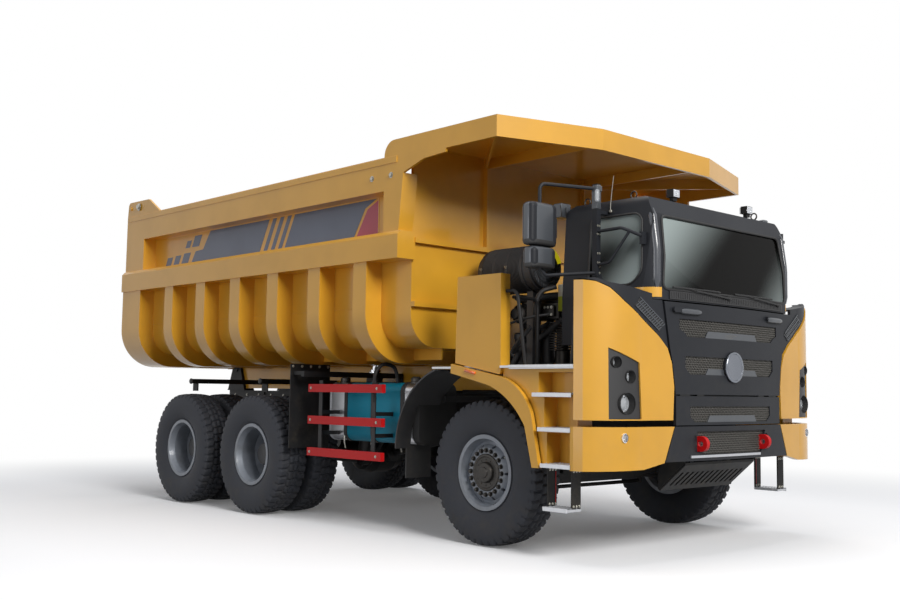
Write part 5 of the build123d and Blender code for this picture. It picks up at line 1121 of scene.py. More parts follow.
# %% Wipers, cowl and door handle
cowl_section = ((2.246, -0.004), (2.246, 0.010), (2.318, 0.010), (2.318, -0.004))
cowl = np.stack([[(cab_front_x(y, z) + out, y, z) for z, out in cowl_section]
                 for y in np.linspace(-0.93, 0.93, 48)])
slats = []
for y in np.linspace(-0.90, 0.90, 61):
    x = cab_front_x(y, 2.28)
    slats.append(block((x + 0.008, y - 0.006, 2.256), (x + 0.014, y + 0.006, 2.308), 0.002))
make("cowl_grating", stack(loft(cowl), *slats), black_plastic)
wipers = []
for pivot, tip in ((-0.08, -0.90), (0.82, 0.02)):
    arm_y = np.linspace(pivot, tip + 0.30, 10)
    arm_z = 2.300 + 0.035 * (arm_y - pivot) / (tip + 0.30 - pivot)
    arm = np.stack([cab_front_x(arm_y, 2.335) + 0.032, arm_y, arm_z], 1)
    blade_y = np.linspace(tip, tip + 0.68, 16)
    blade = np.stack([cab_front_x(blade_y, 2.345) + 0.018, blade_y, 2.350 + 0 * blade_y], 1)
    wipers += [pipe(arm, 0.009), pipe(blade, 0.008, sides=8), pipe([arm[-1], blade[5]], 0.006, sides=8),
               copies(bolt(0.020, 0.030, 1.2), [(cab_front_x(pivot, 2.30) + 0.004, pivot, 2.300)], (1, 0, 0))]
make("wipers", stack(*wipers), soft_black)
handle = pipe([(3.46, 1.128, 2.215), (3.46, 1.168, 2.215), (3.60, 1.168, 2.215), (3.60, 1.128, 2.215)], 0.011,
              0.02)
make("door_handle", handle, black_plastic, "door_left")
print("cowl slats", len(slats))

# %% [markdown]
# Two mirrors hang on each side in rounded pods, a tall one over a wide one. A pod could be a box with bevels,
# but its walls bulge a little, so it is a stack of rings with the section |x/a|^n + |y/b|^n = 1, and near its
# two ends each ring is drawn in along a quarter circle. The glass looks to the rear, and the post carries
# bolts, a clamp and a small marker lamp.

# %% Mirrors
def pod(centre, half, low, high, soft_low, soft_high, power=3.4, sides=56):
    """Superellipse rings from low to high, drawn in by soft (1 - sqrt(1 - t^2)) over each end's soft."""
    levels = np.concatenate([low + soft_low * (1 - np.cos(np.linspace(0, np.pi / 2, 6))),
                             high - soft_high * (1 - np.cos(np.linspace(np.pi / 2, 0, 6)))])
    down = np.clip((low + soft_low - levels) / max(soft_low, 1e-6), 0, 1)
    over = np.clip((levels - high + soft_high) / max(soft_high, 1e-6), 0, 1)
    inset = soft_low * (1 - np.sqrt(1 - down ** 2)) + soft_high * (1 - np.sqrt(1 - over ** 2))
    a = np.linspace(0, 2 * np.pi, sides, endpoint=False)
    shape = np.stack([np.sign(np.cos(a)) * np.abs(np.cos(a)) ** (2 / power),
                      np.sign(np.sin(a)) * np.abs(np.sin(a)) ** (2 / power)], 1)
    rings = [np.column_stack([centre + shape * (np.array(half) - i), z + 0 * a])
             for z, i in zip(levels, inset)]
    return loft(np.array(rings))


mirror_x, mirror_y, bolt_face_x, post_bolt_y = 3.410, 1.750, 3.638, (1.205, 1.231)
for side, way in both_sides:
    body = "door_left" if side == "left" else "chassis"
    at = (mirror_x, way * mirror_y)
    shells = [pod(at, (0.069, 0.174), 2.738, 3.074, 0.004, 0.045),
              pod(at, (0.074, 0.154), 2.532, 2.684, 0.004, 0.030)]
    make("mirror_shells_" + side, stack(*shells), mirror_grey, body, smooth=50)
    rims = [pod(at, (0.071, 0.176), 2.696, 2.741, 0.022, 0.004),
            pod(at, (0.076, 0.156), 2.496, 2.535, 0.020, 0.004)]
    make("mirror_rims_" + side, stack(*rims), soft_black, body, smooth=50)
    panes = [block((x0, at[1] - half, low), (x1, at[1] + half, high), 0.002)
             for x0, x1, half, low, high in ((3.336, 3.342, 0.140, 2.765, 3.030),
                                             (3.331, 3.338, 0.120, 2.545, 2.650))]
    make("mirror_glass_" + side, stack(*panes), mirror_glass, body)
    top = 3.290 if side == "right" else 3.190
    heads = [(bolt_face_x, way * y, z) for y in post_bolt_y for z in (2.911, 2.835, 2.661, 2.579)]
    heads += [(bolt_face_x, way * post_bolt_y[0], z) for z in (2.544, 2.487)]
    heads += [(bolt_face_x, way * y, top - 0.02) for y in post_bolt_y]
    make("post_bolts_" + side, copies(bolt(0.0075, 0.007), heads, (1, 0, 0)), bolt_steel, body)
    plate = block((3.578, way * 1.189, top - 0.225), (3.642, way * 1.247, top - 0.06), 0.003)
    clamp = block((3.590, way * 1.180, top - 0.068), (3.650, way * 1.256, top - 0.014), 0.006)
    make("post_plate_" + side, stack(plate, clamp), mirror_grey, body)
    lens = pod((3.655, way * 1.262), (0.016, 0.022), top - 0.168, top - 0.056, 0.014, 0.014, 3.0, 24)
    make("marker_lamp_" + side, lens, lens_clear, body, smooth=50)
print("mirror shells a side", totals["mirror_shells_left"], "triangles")

# %% [markdown]
# On the roof: lifting eyes are rings that stand on a nut, the work lamps get a grid of small lenses, and the
# aerial is a tapering whip that leans forward.

# %% Roof furniture
def torus(centre, axis, ring, wire, steps=32, sides=10):
    """A round wire bent into a ring: the circle of radius ring about an axis, thickened by wire."""
    a = np.linspace(0, 2 * np.pi, sides, endpoint=False)
    profile = np.stack([ring + wire * np.cos(a), wire * np.sin(a)], 1)
    return turned(profile, centre, axis, steps, True)


eyes = []
for x, y in ((3.24, -0.90), (3.80, -0.92), (3.24, 0.90), (3.95, 0.84)):
    eyes += [torus((x, y, 3.212), "y", 0.032, 0.0075), copies(bolt(0.020, 0.016), [(x, y, 3.168)])]
make("lifting_eyes", stack(*eyes), dark_steel, smooth=50)
aerial = pipe([(3.668, -1.088, 3.06), (3.672, -1.092, 3.12), (3.690, -1.095, 3.25), (3.712, -1.098, 3.375)],
              np.array([0.005, 0.004, 0.003, 0.002]), sides=8)
foot = block((3.655, -1.098, 3.045), (3.683, -1.066, 3.068), 0.004)
make("aerial", stack(aerial, foot), bolt_steel)
for side, way in both_sides:
    face = block((4.043, way * 0.5655, 3.2045), (4.0475, way * 0.6545, 3.2705), 0.003)
    make("work_lamp_face_" + side, face, reflector)
    leds = [(4.046, way * y, z) for y in np.linspace(0.582, 0.638, 4) for z in (3.219, 3.2375, 3.256)]
    dome = turned([(0.0078, 0.0), (0.0074, 0.003), (0.005, 0.0055), (0.0, 0.0065)], (0, 0, 0), "z", 16)
    make("work_lamp_leds_" + side, copies(dome, leds, (1, 0, 0)), lens_clear, smooth=50)
    fins = [block((3.958, way * 0.566, z), (3.977, way * 0.654, z + 0.005), 0.001)
            for z in np.arange(3.205, 3.268, 0.011)]
    make("work_lamp_fins_" + side, stack(*fins), dark_steel)
make("roof_box", block((3.945, 0.930, 3.150), (4.010, 1.010, 3.188), 0.010), mirror_grey)
rear_box = block((3.030, -1.150, 3.055), (3.133, -1.015, 3.190), 0.006)
loops = [pipe([(3.10, y, 3.180), (3.135, y - 0.03, 3.150), (3.150, y - 0.04, 3.100), (3.135, y - 0.02, 3.060),
               (3.10, y, 3.062)], 0.0045, 0.03, 8) for y in (-1.130, -1.060)]
make("rear_box_right", rear_box, mirror_grey)
make("rear_box_wires", stack(*loops), hose_rubber)
print("lifting eyes", len(eyes) // 2)

# %% [markdown]
# The posts beside the windscreen are rounded and glossy, so each one shows a bright line from sill to roof. A
# round bar set into the corner gives that line. It sinks at both ends, and its centre follows the lesser of
# the side's lean and the windscreen's slope, less its own radius.

# %% Rounded corner posts beside the windscreen
z = np.linspace(2.335, 3.040, 12)
for side, way in both_sides:
    thick = 0.040 if side == "right" else 0.028
    x = np.minimum(4.183, 4.238 - (z - 2.300) / 7.0) - thick
    y = np.minimum(1.090, 1.140 - 0.069 * (z - 2.300)) - thick
    path = np.stack([x, way * y, z], 1)
    taper = thick * np.clip(np.minimum(z - 2.325, 3.050 - z) / 0.05, 0.25, 1) ** 0.5
    make("pillar_trim_" + side, pipe(path, taper, sides=24), post_paint, smooth=60)
print("corner post", totals["pillar_trim_right"], "triangles")

# %% [markdown]
# ## Steps, tank and ladder
#
# Step treads are punched plate: pale metal with rows of small raised cups, which grip a muddy boot. The cups
# are real shapes, because they break the light along each step's edge. One plate recipe serves the three
# steps in the fender, the hanging step and the deck.

# %% Treads
cup = loft(np.stack([np.stack([r * np.cos(hexagon), r * np.sin(hexagon), z + 0 * hexagon], -1)
                     for r, z in ((0.0085, -0.001), (0.0075, 0.0035), (0.0045, 0.0045))]))


def tread_plate(x0, x1, y0, y1, top, way):
    """A plate with a lip at its outer edge and staggered rows of cups on top."""
    plate = block((x0, way * y0, top - 0.004), (x1, way * y1, top + 0.002))
    lip = block((x0, way * y1, top - 0.032), (x1, way * (y1 + 0.010), top + 0.004), 0.002)
    xs, ys = np.arange(x0 + 0.02, x1 - 0.01, 0.034), np.arange(y0 + 0.02, y1, 0.034)
    spots = [(x + 0.017 * (j % 2), way * y, top + 0.002)
             for j, y in enumerate(ys) for x in xs if x + 0.017 < x1]
    return stack(plate, lip, copies(cup, spots))


steps = ((1.415, 3.362), (1.120, 3.428), (0.815, 3.462))
hanger_x, deck_top = (3.470, 3.740), 1.655
tilt = math.radians(-10.5)
turn = np.array([[math.cos(tilt), 0, -math.sin(tilt)], [0, 1, 0], [math.sin(tilt), 0, math.cos(tilt)]])
for side, way in both_sides:
    plates = [tread_plate(rear + 0.004, 3.812, 1.570, 1.780, top, way) for top, rear in steps]
    plates += [tread_plate(3.466, 3.744, 1.578, 1.742, 0.450, way)]
    edge = block((3.070, way * 1.772, 1.634), (3.832, way * 1.784, 1.660), 0.003)
    deck = tread_plate(3.072, 3.830, 1.200, 1.765, deck_top, way)
    make("step_treads_" + side, stack(*plates), tread_steel)
    make("platform_tread_" + side, stack(edge, deck), tread_steel)
    hangers = [block((x - 0.007, way * 1.578, 0.452), (x + 0.007, way * 1.694, 0.788), 0.002)
               for x in hanger_x]
    make("step_hangers_" + side, stack(*hangers), chassis_black)
    heads = [(x + 0.007, way * y, z) for x in hanger_x for y in (1.598, 1.635, 1.672) for z in (0.470, 0.762)]
    make("step_bolts_" + side, copies(bolt(0.008, 0.008), heads, (1, 0, 0)), bolt_steel)
    stripe = block((3.4785, way * 1.592, 0.48), (3.4805, way * 1.602, 0.745))
    make("step_red_edge_" + side, stripe, red_paint)
    points, faces = block((-0.072, -0.011, -0.013), (0.072, 0.011, 0.013), 0.008)
    at = np.array([2.585, way * 1.782, 1.600])
    make("fender_marker_" + side, (points @ turn.T + at, faces), amber_lens, smooth=50)
print("treads a side", totals["step_treads_left"] + totals["platform_tread_left"], "triangles")

# %% [markdown]
# The fuel tank is wrapped in a teal film between its brushed ends, and three black straps hold it down. Film,
# straps, sleeve and rim are all the tank's own rounded section, grown by a few millimetres, so one ring
# formula makes them all.

# %% Fuel tank dressing
def tank_ring(x, grow, low=(-1.500, 0.880), high=(-1.000, 1.500), corner=0.095, per_corner=9):
    """The tank's rounded section, grown outward: four quarter circles about the corners' centres."""
    centre_y, centre_z = (low[0] + high[0]) / 2, (low[1] + high[1]) / 2
    half_y, half_z = (high[0] - low[0]) / 2 - corner, (high[1] - low[1]) / 2 - corner
    points = []
    for quarter, (sy, sz) in enumerate(((1, 1), (-1, 1), (-1, -1), (1, -1))):
        a = np.linspace(quarter * np.pi / 2, (quarter + 1) * np.pi / 2, per_corner)
        points.append(np.stack([x + 0 * a, centre_y + sy * half_y + (corner + grow) * np.cos(a),
                                centre_z + sz * half_z + (corner + grow) * np.sin(a)], 1))
    return np.concatenate(points)


def tank_band(x0, x1, grow, inner=-0.004):
    """A closed band round the tank: out, across, in and back, as four rings whose ends meet."""
    rings = np.stack([tank_ring(x0, inner), tank_ring(x0, grow), tank_ring(x1, grow), tank_ring(x1, inner)])
    return rings.reshape(-1, 3), grid_faces(4, rings.shape[1], True, True)


strap_x, tank_rim_x, cap_x = (0.358, 0.822, 1.300), 0.072, (0.180, 1.370)
films = [tank_band(x0, x1, 0.0022) for x0, x1 in ((0.385, 0.795), (0.850, 1.272))]
make("tank_film", stack(*films), teal_film)
straps = [tank_band(x - 0.026, x + 0.026, 0.009) for x in strap_x]
tails = [pipe([(x, -1.512, 0.93), (x, -1.516, 0.86), (x, -1.500, 0.80)], 0.007, sides=8) for x in strap_x]
make("tank_straps", stack(*straps), soft_black)
sleeve = tank_band(1.470, 1.566, 0.004, -0.01)
cover = np.stack([tank_ring(x, grow) for x, grow in ((1.560, -0.002), (1.567, -0.004))])
make("tank_end_cover", stack(sleeve, loft(cover)), soft_black)
make("tank_rims", tank_band(tank_rim_x - 0.006, tank_rim_x + 0.006, 0.006), tank_aluminium)
make("strap_bolts", stack(*tails), bolt_steel)
cap_profile = [(0.0, 1.496), (0.062, 1.496), (0.062, 1.512), (0.054, 1.516), (0.054, 1.548), (0.046, 1.556),
               (0.0, 1.556)]
caps = []
for x in cap_x:
    caps += [turned(cap_profile, (x, -1.380, 0), "z", 40),
             block((x - 0.05, -1.388, 1.552), (x + 0.05, -1.372, 1.566), 0.003)]
make("tank_caps", stack(*caps), dark_steel)
oil_panel = prism([(1.5005, 0.95), (1.5005, 1.43), (1.503, 1.43), (1.503, 0.95)], "x", 0.3, 1.2)
make("oil_tank_panel", oil_panel, tank_grey)
print("tank straps", len(straps), "and films", len(films))

# %% [markdown]
# Small things that hold the side together: bolts through the ladder's brackets and the mud flaps, a hand hoop
# above the ladder, and round caps on the ends of the rear guards' arms.

# %% Ladder, hand hoop and flap bolts
heads = [(x, -1.8005, top - 0.042) for x in (0.118, 1.250) for top in (1.480, 1.140, 0.800)]
make("ladder_bolts", copies(bolt(0.010, 0.009), heads, (0, -1, 0)), bolt_steel)
hoop = pipe([(1.140, -1.742, 1.300), (1.140, -1.742, 1.600), (1.140, -1.640, 1.700), (1.140, -1.480, 1.670),
             (1.140, -1.440, 1.560), (1.140, -1.440, 1.498)], 0.019, 0.10)
make("ladder_hoop", hoop, chassis_black, smooth=50)
for side, way in both_sides:
    heads = [(-0.170, way * y, 1.675) for y in np.linspace(1.37, 1.84, 5)]
    make("flap_bolts_" + side, copies(bolt(0.011, 0.010), heads, (1, 0, 0)), bolt_steel)
    disc = [(0.0, 0.0), (0.036, 0.0), (0.036, 0.012), (0.028, 0.020), (0.0, 0.022)]
    arm_ends = [(x, way * 1.560, 1.510) for x in (-2.880, -1.250)]
    arms = copies(turned(disc, (0, 0, 0), "z", 32), arm_ends, (0, way, 0))
    make("guard_arm_ends_" + side, arms, soft_black, smooth=50)
print("ladder bolts", totals["ladder_bolts"], "triangles")

# %% [markdown]
# ## Under the body
#
# Behind the wheels a truck is mostly brackets, bolts and hoses. The rails carry two rows of bolts, and the
# axles carry brake chambers, which are turned drums with a clamp ring and a push rod.

# %% Rail bolts and brake chambers
rail_bolt_x = [x for x in np.arange(-3.60, 3.75, 0.30) if abs(x - 0.9) > 0.1]
for side, way in both_sides:
    heads = [(x, way * 0.4605, z) for x in rail_bolt_x for z in (1.060, 1.340)]
    make("rail_bolts_" + side, copies(bolt(0.011, 0.010), heads, (0, way, 0)), bolt_steel)
chamber = turned([(0.0, 0.0), (0.045, 0.0), (0.078, 0.012), (0.082, 0.060), (0.090, 0.062), (0.090, 0.076),
                  (0.082, 0.078), (0.076, 0.130), (0.040, 0.150), (0.0, 0.152)], (0, 0, 0), "z", 40)
chambers, rods = [], []
for x in (mid_x, rear_x):
    for way in (1, -1):
        place, direction = np.array([x + 0.30, way * 0.86, 0.80]), np.array([-1.0, 0, 0.15])
        chambers.append(copies(chamber, [place], [direction]))
        rods.append(pipe([place, place + 0.24 * direction], 0.012, sides=8))
make("brake_chambers", stack(*chambers), cast_alloy, smooth=50)
make("brake_rods", stack(*rods), bolt_steel)
print("rail bolts a side", 2 * len(rail_bolt_x))

# %% [markdown]
# Hoses hang in gentle bows. Each route is a handful of points, rounded at its corners, and the ribs of the
# larger ones are a cosine along their length.

# %% Hoses and lines
lines = [[(0.95, -0.52, 1.30), (0.55, -0.56, 1.24), (0.10, -0.54, 1.30), (-0.45, -0.52, 1.26),
          (-0.80, -0.50, 1.20)],
         [(0.95, 0.52, 1.30), (0.50, 0.57, 1.22), (0.0, 0.54, 1.30), (-0.45, 0.52, 1.24),
          (-0.80, 0.50, 1.20)],
         [(2.30, -0.52, 1.36), (2.00, -0.60, 1.28), (1.65, -0.55, 1.34)],
         [(2.30, 0.52, 1.36), (2.00, 0.60, 1.28), (1.65, 0.55, 1.34)]]
make("chassis_lines", stack(*(pipe(route, 0.014, 0.12, 10) for route in lines)), hose_rubber, smooth=50)
side_hoses = [
    [(2.62, -0.70, 2.12), (2.72, -1.02, 2.02), (2.80, -1.16, 2.20), (2.86, -1.14, 2.38), (2.96, -1.02, 2.42)],
    [(2.20, -0.62, 1.92), (2.36, -1.00, 1.80), (2.60, -1.20, 1.86), (2.78, -1.18, 2.04)],
    [(1.96, -0.98, 2.30), (2.10, -1.20, 2.10), (2.40, -1.26, 2.02), (2.70, -1.22, 2.12), (2.90, -1.06, 2.16)],
]
make("engine_bay_hoses", stack(*(ribbed_hose(route, 0.024, 0.14) for route in side_hoses[:2])), hose_rubber,
     smooth=50)
make("engine_bay_line", pipe(side_hoses[2], 0.013, 0.12, 10), hose_rubber, smooth=50)
print("lines", len(lines) + len(side_hoses))

# %% [markdown]
# The air cleaner is a black drum with moulded ribs. Its end cap has curved vanes that spin the air, so each
# vane is a thin bar whose angle grows with its radius. A plain yellow patch marks the service side, and it
# glows a little: painted light, so that it stays bright in the shade under the bed.

# %% Air cleaner's ribs, vanes and patch
cleaner = np.array([0.0, -0.900, 2.630])
ribs_x = np.arange(2.070, 2.560, 0.0175)
profile = [(0.215, ribs_x[0] - 0.004)]
for x in ribs_x:
    profile += [(0.2235, x), (0.2335, x + 0.003), (0.2335, x + 0.009), (0.2235, x + 0.012)]
profile += [(0.215, ribs_x[-1] + 0.016)]
make("air_cleaner_ribs", turned(profile, cleaner, "x", 72, True), black_plastic, smooth=25)
vane_count, vane_r = 40, np.linspace(0.058, 0.200, 6)
vane_x = np.where(vane_r < 0.150, 2.716, 2.7325)
vanes = []
for k in range(vane_count):
    swing = 2 * np.pi * k / vane_count + 0.55 * (vane_r - 0.058) / 0.142
    path = np.stack([vane_x, cleaner[1] + vane_r * np.cos(swing), cleaner[2] + vane_r * np.sin(swing)], 1)
    vanes.append(pipe(path, 0.0032, sides=5))
make("air_cleaner_swirl", stack(*vanes), mirror_grey, smooth=50)
a = np.radians(np.linspace(18, 72, 14))
outer, inner = (np.stack([cleaner[1] + r * np.cos(a), cleaner[2] + r * np.sin(a)], 1) for r in (0.206, 0.152))
sector = np.concatenate([outer, inner[::-1]])
patch_yellow = rgb(240, 224, 30)
# The glow is painted light: the patch is no lamp, and the glow keeps it bright in the shade.
sticker = Shader("sticker_yellow").finish(color=patch_yellow, rough=0.4, glow=patch_yellow,
                                          glow_strength=0.35)
make("air_cleaner_sticker", prism(sector, "x", 2.7365, 2.7385), sticker)
band_bolts = copies(bolt(0.010, 0.020), [(x, -1.128, 2.640) for x in (2.046, 2.393)], (0, -1, 0.2))
make("air_cleaner_clamps", band_bolts, bolt_steel)
print("vanes", vane_count, "and ribs", len(ribs_x))

# %% [markdown]
# Each lamp panel holds three round lamps. A lamp is a black bowl, a domed lens in its middle and a ring of
# small facets round the lens. Fog lamps sit in chromed rings low in the bumper's corners, and the tail lamps
# are three domes a side: amber, red and clear.

# %% Lamp bowls, fog lamps and tail lamps
lamp_places = [(way * y, z, radius) for way in (1, -1)
               for y, z, radius in ((1.540, 1.680, 0.050), (1.405, 1.560, 0.058), (1.440, 1.335, 0.092))]
panel_inset, lens_depth = 0.014, 0.058
bowls, domes, facets = [], [], []
for y, z, radius in lamp_places:
    x = float(bowed(y, panel_inset))
    ring = [(radius - 0.0015, x + 0.001), (radius - 0.004, x + 0.002), (radius - 0.010, x - 0.020),
            (radius - 0.014, x - 0.050), (radius - 0.003, x - 0.050)]
    bowls.append(turned(ring, (0, y, z), "x", 56, True))
    x = float(bowed(y, panel_inset + lens_depth)) + 0.004
    inner = 0.64 * radius
    dome = [(inner * math.cos(t), x + 0.55 * inner * math.sin(t)) for t in np.linspace(0, np.pi / 2, 7)]
    domes.append(turned(dome[:-1] + [(0.0, dome[-1][1])], (0, y, z), "x", 40))
    count = 9 if radius < 0.08 else 16
    places = [(x + 0.001, y + 0.76 * radius * math.cos(t), z + 0.76 * radius * math.sin(t))
              for t in np.arange(count) * 2 * np.pi / count]
    facet = turned([(0.17 * radius, 0.0), (0.15 * radius, 0.004), (0.0, 0.007)], (0, 0, 0), "z", 14)
    facets.append(copies(facet, places, (1, 0, 0)))
make("lamp_bowls", stack(*bowls), soft_black, smooth=40)
make("lamp_domes", stack(*domes), lens_clear, smooth=50)
make("lamp_facets", stack(*facets), reflector, smooth=50)
fog_y, fog_z = 1.475, 1.050
fog_x = float(bowed(fog_y)) - 0.004
ring = [(0.040, fog_x), (0.040, fog_x + 0.008), (0.034, fog_x + 0.010), (0.030, fog_x - 0.010),
        (0.038, fog_x - 0.012)]
lens = [(0.033, fog_x - 0.012), (0.028, fog_x - 0.002), (0.015, fog_x + 0.003), (0.0, fog_x + 0.004)]
fog_rings = [turned(ring, (0, way * fog_y, fog_z), "x", 40, True) for way in (1, -1)]
fog_lenses = [turned(lens, (0, way * fog_y, fog_z), "x", 40) for way in (1, -1)]
make("fog_rings", stack(*fog_rings), rod_chrome, smooth=40)
make("fog_lenses", stack(*fog_lenses), lens_clear, smooth=50)
tail_profile = [(0.0, -3.8005), (0.040, -3.8005), (0.038, -3.812), (0.026, -3.818), (0.0, -3.820)]
tail_z = 1.120
tail_lamps = (("red", 0.700, red_lens), ("amber", 0.610, amber_lens), ("clear", 0.790, lens_clear))
for color, y, finish in tail_lamps:
    lenses = [turned(tail_profile, (0, way * y, tail_z), "x", 36) for way in (1, -1)]
    make("tail_lenses_" + color, stack(*lenses), finish, smooth=50)
print("round lamps in the panels", len(lamp_places))

# %% [markdown]
# ## Driver's seat
#
# The cushions start as flat-sided blocks, a little smaller than the finished pad, and are blown up as cloth.
# A point may travel only so far, so the edges stay firm while the middle crowns. Sewn channels come
# afterwards: the surface is pressed in along straight lines by a narrow bell curve.

# %% Cushions
def blown(name, shape, channels, axis, cap=0.012, voxel=0.009):
    """A pad: remeshed, swollen as cloth under pressure, moves capped, then channels pressed along axis."""
    piece = make(name, shape, seat_cloth, smooth=60)
    remesh = piece.modifiers.new("voxels", "REMESH")
    remesh.mode, remesh.voxel_size = "VOXEL", voxel
    flatten(piece)
    rest = places_of(piece)
    cloth = piece.modifiers.new("cloth", "CLOTH")
    cloth.settings.use_pressure, cloth.settings.uniform_pressure_force = True, 4.0
    cloth.settings.quality, cloth.settings.effector_weights.gravity = 5, 0.0
    cloth.point_cache.frame_start, cloth.point_cache.frame_end = 1, 14
    for step in range(1, 15):
        bpy.context.scene.frame_set(step)
    flatten(piece)
    bpy.context.scene.frame_set(1)
    now = places_of(piece)
    moved = now - rest
    far = np.linalg.norm(moved, axis=1)[:, None]
    now = rest + moved * np.minimum(1, cap / np.maximum(far, 1e-9))
    piece.data.vertices.foreach_set("co", now.astype(np.float32).ravel())
    piece.data.update()
    normals = np.empty(len(now) * 3, np.float32)
    piece.data.vertex_normals.foreach_get("vector", normals)
    normal = normals.reshape(-1, 3)
    for centre in channels:
        now = now - normal * 0.008 * np.exp(-((now[:, axis] - centre) / 0.008) ** 2)[:, None]
    piece.data.vertices.foreach_set("co", now.astype(np.float32).ravel())
    piece.data.polygons.foreach_set("use_smooth", np.ones(len(piece.data.polygons), bool))
    piece.data.update()
    totals[name] = sum(len(face.vertices) - 2 for face in piece.data.polygons)
    return piece


def flatten(piece):
    """The piece's mesh with its modifiers applied, and none left on it."""
    graph = bpy.context.evaluated_depsgraph_get()
    made = bpy.data.meshes.new_from_object(piece.evaluated_get(graph))
    piece.modifiers.clear()
    piece.data = made


def places_of(piece):
    """The mesh's points as an array of three columns."""
    points = np.empty(len(piece.data.vertices) * 3, np.float32)
    piece.data.vertices.foreach_get("co", points)
    return points.reshape(-1, 3).astype(float)


def slab(corners, y0, y1):
    """An outline of (x, z) corners between two places across the truck, a tenth smaller at its ends."""
    corners = np.asarray(corners, float)
    middle = corners.mean(0)
    return loft(np.stack([np.insert(middle + (corners - middle) * share, 1, y, axis=1)
                          for share, y in ((0.9, y0), (1.0, y0 + 0.03), (1.0, y1 - 0.03), (0.9, y1))]))


cushion = slab([(3.342, 2.152), (3.828, 2.152), (3.828, 2.236), (3.342, 2.236)], 0.172, 0.668)
back = slab([(3.262, 2.262), (3.366, 2.262), (3.278, 2.886), (3.202, 2.880)], 0.192, 0.648)
seat_pad = blown("seat_cushion", cushion, (0.300, 0.540), 1)
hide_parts("seat")
blown("seat_back", back, (2.42, 2.58, 2.74), 2)
bellows = ribbed_hose([(3.58, 0.42, 1.95), (3.58, 0.42, 2.03), (3.58, 0.42, 2.12)], 0.13, 0.0, 0.03, 0.10)
base = [block((3.400, 0.240, 1.918), (3.760, 0.600, 1.960), 0.006),
        block((3.345, 0.190, 2.108), (3.825, 0.650, 2.144), 0.008)]
make("seat_suspension", stack(*base, bellows), black_plastic)
ears = [block((3.246, y - 0.010, 2.17), (3.352, y + 0.010, 2.33), 0.004) for y in (0.180, 0.660)]
make("seat_recliner_plates", stack(*ears), dark_steel)
print("seat pads", totals["seat_cushion"] + totals["seat_back"], "triangles")

# %% [markdown]
# ## Beside the engine
#
# Behind the steps one looks into the engine's side: three brackets stand off the rail and carry the filters,
# the valve block, a finned compressor and the alternator, with hoses between them. Little light gets in
# there, so what counts is how many round and square shapes overlap. Each is a turned profile or a few blocks,
# and fins and bolts are one shape copied along a line.

# %% Brackets and what they carry
stand_x = (2.170, 2.520, 2.880)
stands = [block((x - 0.022, -0.800, 1.356), (x + 0.022, -0.461, 1.398), 0.004) for x in stand_x]
stands += [block((x - 0.022, -0.650, 1.398), (x + 0.022, -0.606, 2.395), 0.004) for x in stand_x]
stands += [block((2.130, -0.652, z), (2.920, -0.640, z + 0.060), 0.003) for z in (1.720, 2.010, 2.330)]
make("engine_side_brackets", stack(*stands), chassis_black)
filter_profile = [(0.0, 0.0), (0.060, 0.0), (0.074, 0.014), (0.074, 0.250), (0.080, 0.254), (0.080, 0.300),
                  (0.060, 0.318), (0.024, 0.322), (0.020, 0.345), (0.0, 0.347)]
filter_places = [(2.245, -0.735, 1.700), (2.415, -0.740, 1.690), (2.590, -0.735, 1.700)]
filters = copies(turned(filter_profile, (0, 0, 0), "z", 36), filter_places)
make("engine_side_filters", filters, black_plastic, smooth=40)
valve_blocks = [block((2.360, -0.800, 2.130), (2.790, -0.652, 2.300), 0.010),
                block((2.400, -0.830, 2.160), (2.560, -0.800, 2.270), 0.006),
                block((2.610, -0.830, 2.160), (2.750, -0.800, 2.270), 0.006),
                block((2.300, -0.770, 2.300), (2.860, -0.652, 2.326), 0.006)]
make("engine_side_valves", stack(*valve_blocks), dark_steel)
heads = [(x, -0.830, z) for x in (2.425, 2.480, 2.535, 2.635, 2.680, 2.725) for z in (2.178, 2.250)]
make("engine_side_valve_bolts", copies(bolt(0.010, 0.010), heads, (0, -1, 0)), bolt_steel)
fin = block((-0.105, -0.080, 0.0), (0.105, 0.080, 0.009), 0.002)
cylinder = [(0.0, 1.700), (0.075, 1.700), (0.075, 1.825), (0.060, 1.830), (0.060, 2.115), (0.070, 2.118),
            (0.0, 2.120)]
compressor = [copies(fin, [(2.790, -0.735, z) for z in np.arange(1.830, 2.110, 0.024)]),
              turned(cylinder, (2.790, -0.735, 0), "z", 32)]
make("engine_side_compressor", stack(*compressor), dark_steel, smooth=40)
casing = [(0.0, -0.640), (0.085, -0.640), (0.092, -0.650), (0.092, -0.760), (0.070, -0.778), (0.030, -0.780),
          (0.030, -0.800), (0.052, -0.802), (0.044, -0.812), (0.052, -0.822), (0.0, -0.824)]
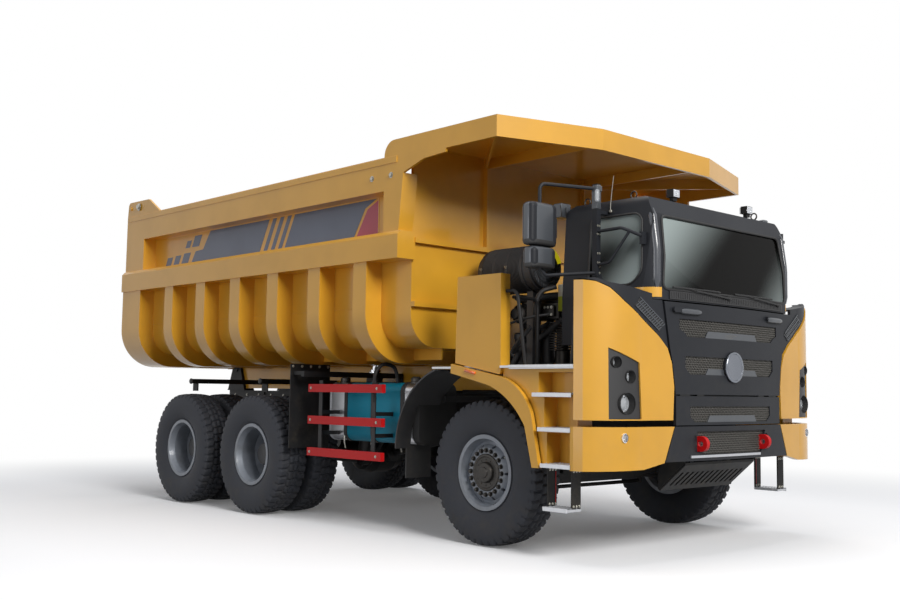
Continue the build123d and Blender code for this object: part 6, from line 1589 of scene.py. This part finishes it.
alternator_x, alternator_z = 2.215, 2.210
alternator = [turned(casing, (alternator_x, 0, alternator_z), "y", 40)]
for t in np.arange(20) * np.pi / 10:
    x, z = alternator_x + 0.091 * math.cos(t), alternator_z + 0.091 * math.sin(t)
    alternator.append(block((x - 0.006, -0.755, z - 0.006), (x + 0.006, -0.655, z + 0.006), 0.001))
make("engine_side_alternator", stack(*alternator), dark_steel, smooth=40)
runs = [[(2.245, -0.735, 2.035), (2.245, -0.760, 2.090), (2.330, -0.790, 2.115), (2.380, -0.790, 2.150)],
        [(2.590, -0.735, 2.040), (2.600, -0.770, 2.090), (2.660, -0.790, 2.120)],
        [(2.790, -0.735, 2.115), (2.800, -0.760, 2.200), (2.860, -0.720, 2.260), (2.900, -0.640, 2.180),
         (2.900, -0.520, 1.980)],
        [(2.415, -0.740, 1.695), (2.420, -0.790, 1.600), (2.300, -0.760, 1.520), (2.180, -0.600, 1.480)],
        [(2.590, -0.735, 1.705), (2.600, -0.790, 1.580), (2.760, -0.760, 1.520), (2.900, -0.600, 1.500)]]
make("engine_side_hoses", stack(*(pipe(route, 0.016, 0.06, 10) for route in runs)), hose_rubber, smooth=50)
trunk = [[(2.150, -0.700, 2.380), (2.300, -0.860, 2.360), (2.520, -0.880, 2.340), (2.700, -0.840, 2.360),
          (2.880, -0.700, 2.380)],
         [(2.200, -0.820, 1.690), (2.330, -0.850, 1.840), (2.620, -0.850, 1.960), (2.860, -0.820, 2.120)]]
make("engine_side_trunks", stack(*(ribbed_hose(route, 0.034, 0.12) for route in trunk)), hose_rubber,
     smooth=50)
print("engine side pieces", len([name for name in totals if name.startswith("engine_side")]))

# %% [markdown]
# A conduit lies on top of each rail, behind the engine: a plain tube that keeps the loom for the lamps and
# the hoist.

# %% Conduits on the rails
tubes = [pipe([(x, way * 0.480, 1.419) for x in (1.12, 1.40, 1.74)], 0.021, sides=14) for way in (-1, 1)]
make("rail_conduits", stack(*tubes), chassis_black)
print("conduits", totals["rail_conduits"], "triangles")
